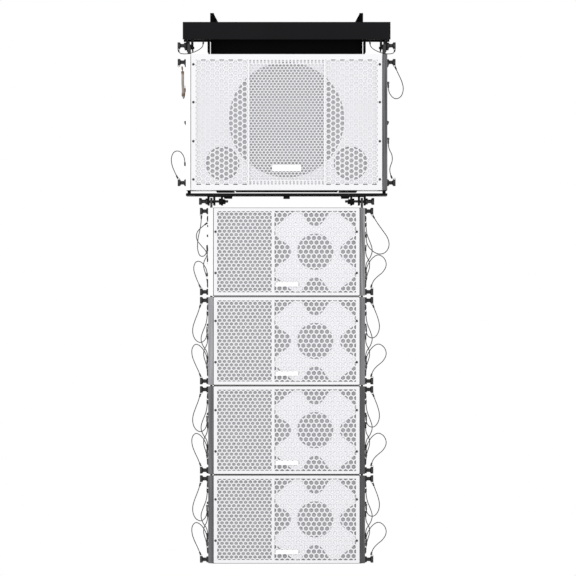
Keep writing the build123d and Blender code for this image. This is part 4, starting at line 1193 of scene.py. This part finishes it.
# -------- studio
class ARRAY_OT_studio(bpy.types.Operator):
    """Camera, soft lights and a pale floor below the hanging array"""

    bl_idname = "array.studio"
    bl_label = "Studio"

    def execute(self, context):
        scene = context.scene
        scene.view_settings.view_transform = "Standard"
        distance, wide = 45.0, 1.872
        camera_data = bpy.data.cameras.new("camera")
        camera_data.sensor_width = 36.0
        camera_data.lens = camera_data.sensor_width * distance / wide
        camera = place_object("camera", camera_data)
        camera.location = (0.0045, FRONT - distance, -0.879)
        camera.rotation_euler = (math.radians(90), 0, 0)
        scene.camera = camera
        floor = plate([circle(0, 0, 5.0, 96)], 0.02, 0)
        floor.transform(Matrix.Translation((0, 0, CAD_LOW.z - 0.55)) @ FLAT_TO_FRONT)
        place_object("studio_floor", floor, "studio_white")
        world = bpy.data.worlds.new("studio")
        world.use_nodes = True
        background = world.node_tree.nodes["Background"]
        background.inputs["Color"].default_value = (1, 1, 1, 1)
        background.inputs["Strength"].default_value = 1.0
        scene.world = world
        lights = (("key", (-2.6, -5.0, 1.6), 2.4, 45), ("fill", (3.0, -4.6, 0.4), 2.6, 25))
        for name, location, size, power in lights:
            data = bpy.data.lights.new(name, "AREA")
            data.shape = "DISK"
            data.size = size
            data.energy = power
            lamp = place_object(name, data)
            lamp.location = location
            aim = Vector((0, 0, -0.9)) - lamp.location
            lamp.rotation_euler = aim.to_track_quat("-Z", "Y").to_euler()
        return {"FINISHED"}


OPERATORS = (ARRAY_OT_studio, ARRAY_OT_frame_finishes, ARRAY_OT_lanyards,
             ARRAY_OT_module_grilles, ARRAY_OT_sub_grille, ARRAY_OT_phase_plates,
             ARRAY_OT_sub_backing, ARRAY_OT_cones, ARRAY_OT_rings_and_bolts,
             ARRAY_OT_hooks, ARRAY_OT_rear_panels, ARRAY_OT_seals, ARRAY_OT_sub_skids)


class ARRAY_PT_panel(bpy.types.Panel):
    """Lists the pieces of the line array"""

    bl_label = "Line Array"
    bl_idname = "ARRAY_PT_panel"
    bl_space_type = "VIEW_3D"
    bl_region_type = "UI"
    bl_category = "Line Array"

    def draw(self, context):
        for operator in OPERATORS:
            self.layout.operator(operator.bl_idname)
        for group in (context.scene.array_sizes, context.scene.array_colours):
            for name in group.__annotations__:
                self.layout.prop(group, name)


CLASSES = (ArraySizes, ArrayColours, *OPERATORS, ARRAY_PT_panel)


def register():
    for item in CLASSES:
        bpy.utils.register_class(item)
    bpy.types.Scene.array_sizes = bpy.props.PointerProperty(type=ArraySizes)
    bpy.types.Scene.array_colours = bpy.props.PointerProperty(type=ArrayColours)


def unregister():
    del bpy.types.Scene.array_colours
    del bpy.types.Scene.array_sizes
    for item in reversed(CLASSES):
        bpy.utils.unregister_class(item)


def main():
    """Build every piece around the frame."""
    register()
    for operator in OPERATORS:
        group, name = operator.bl_idname.split(".")
        getattr(getattr(bpy.ops, group), name)()


if __name__ == "__main__":
    main()
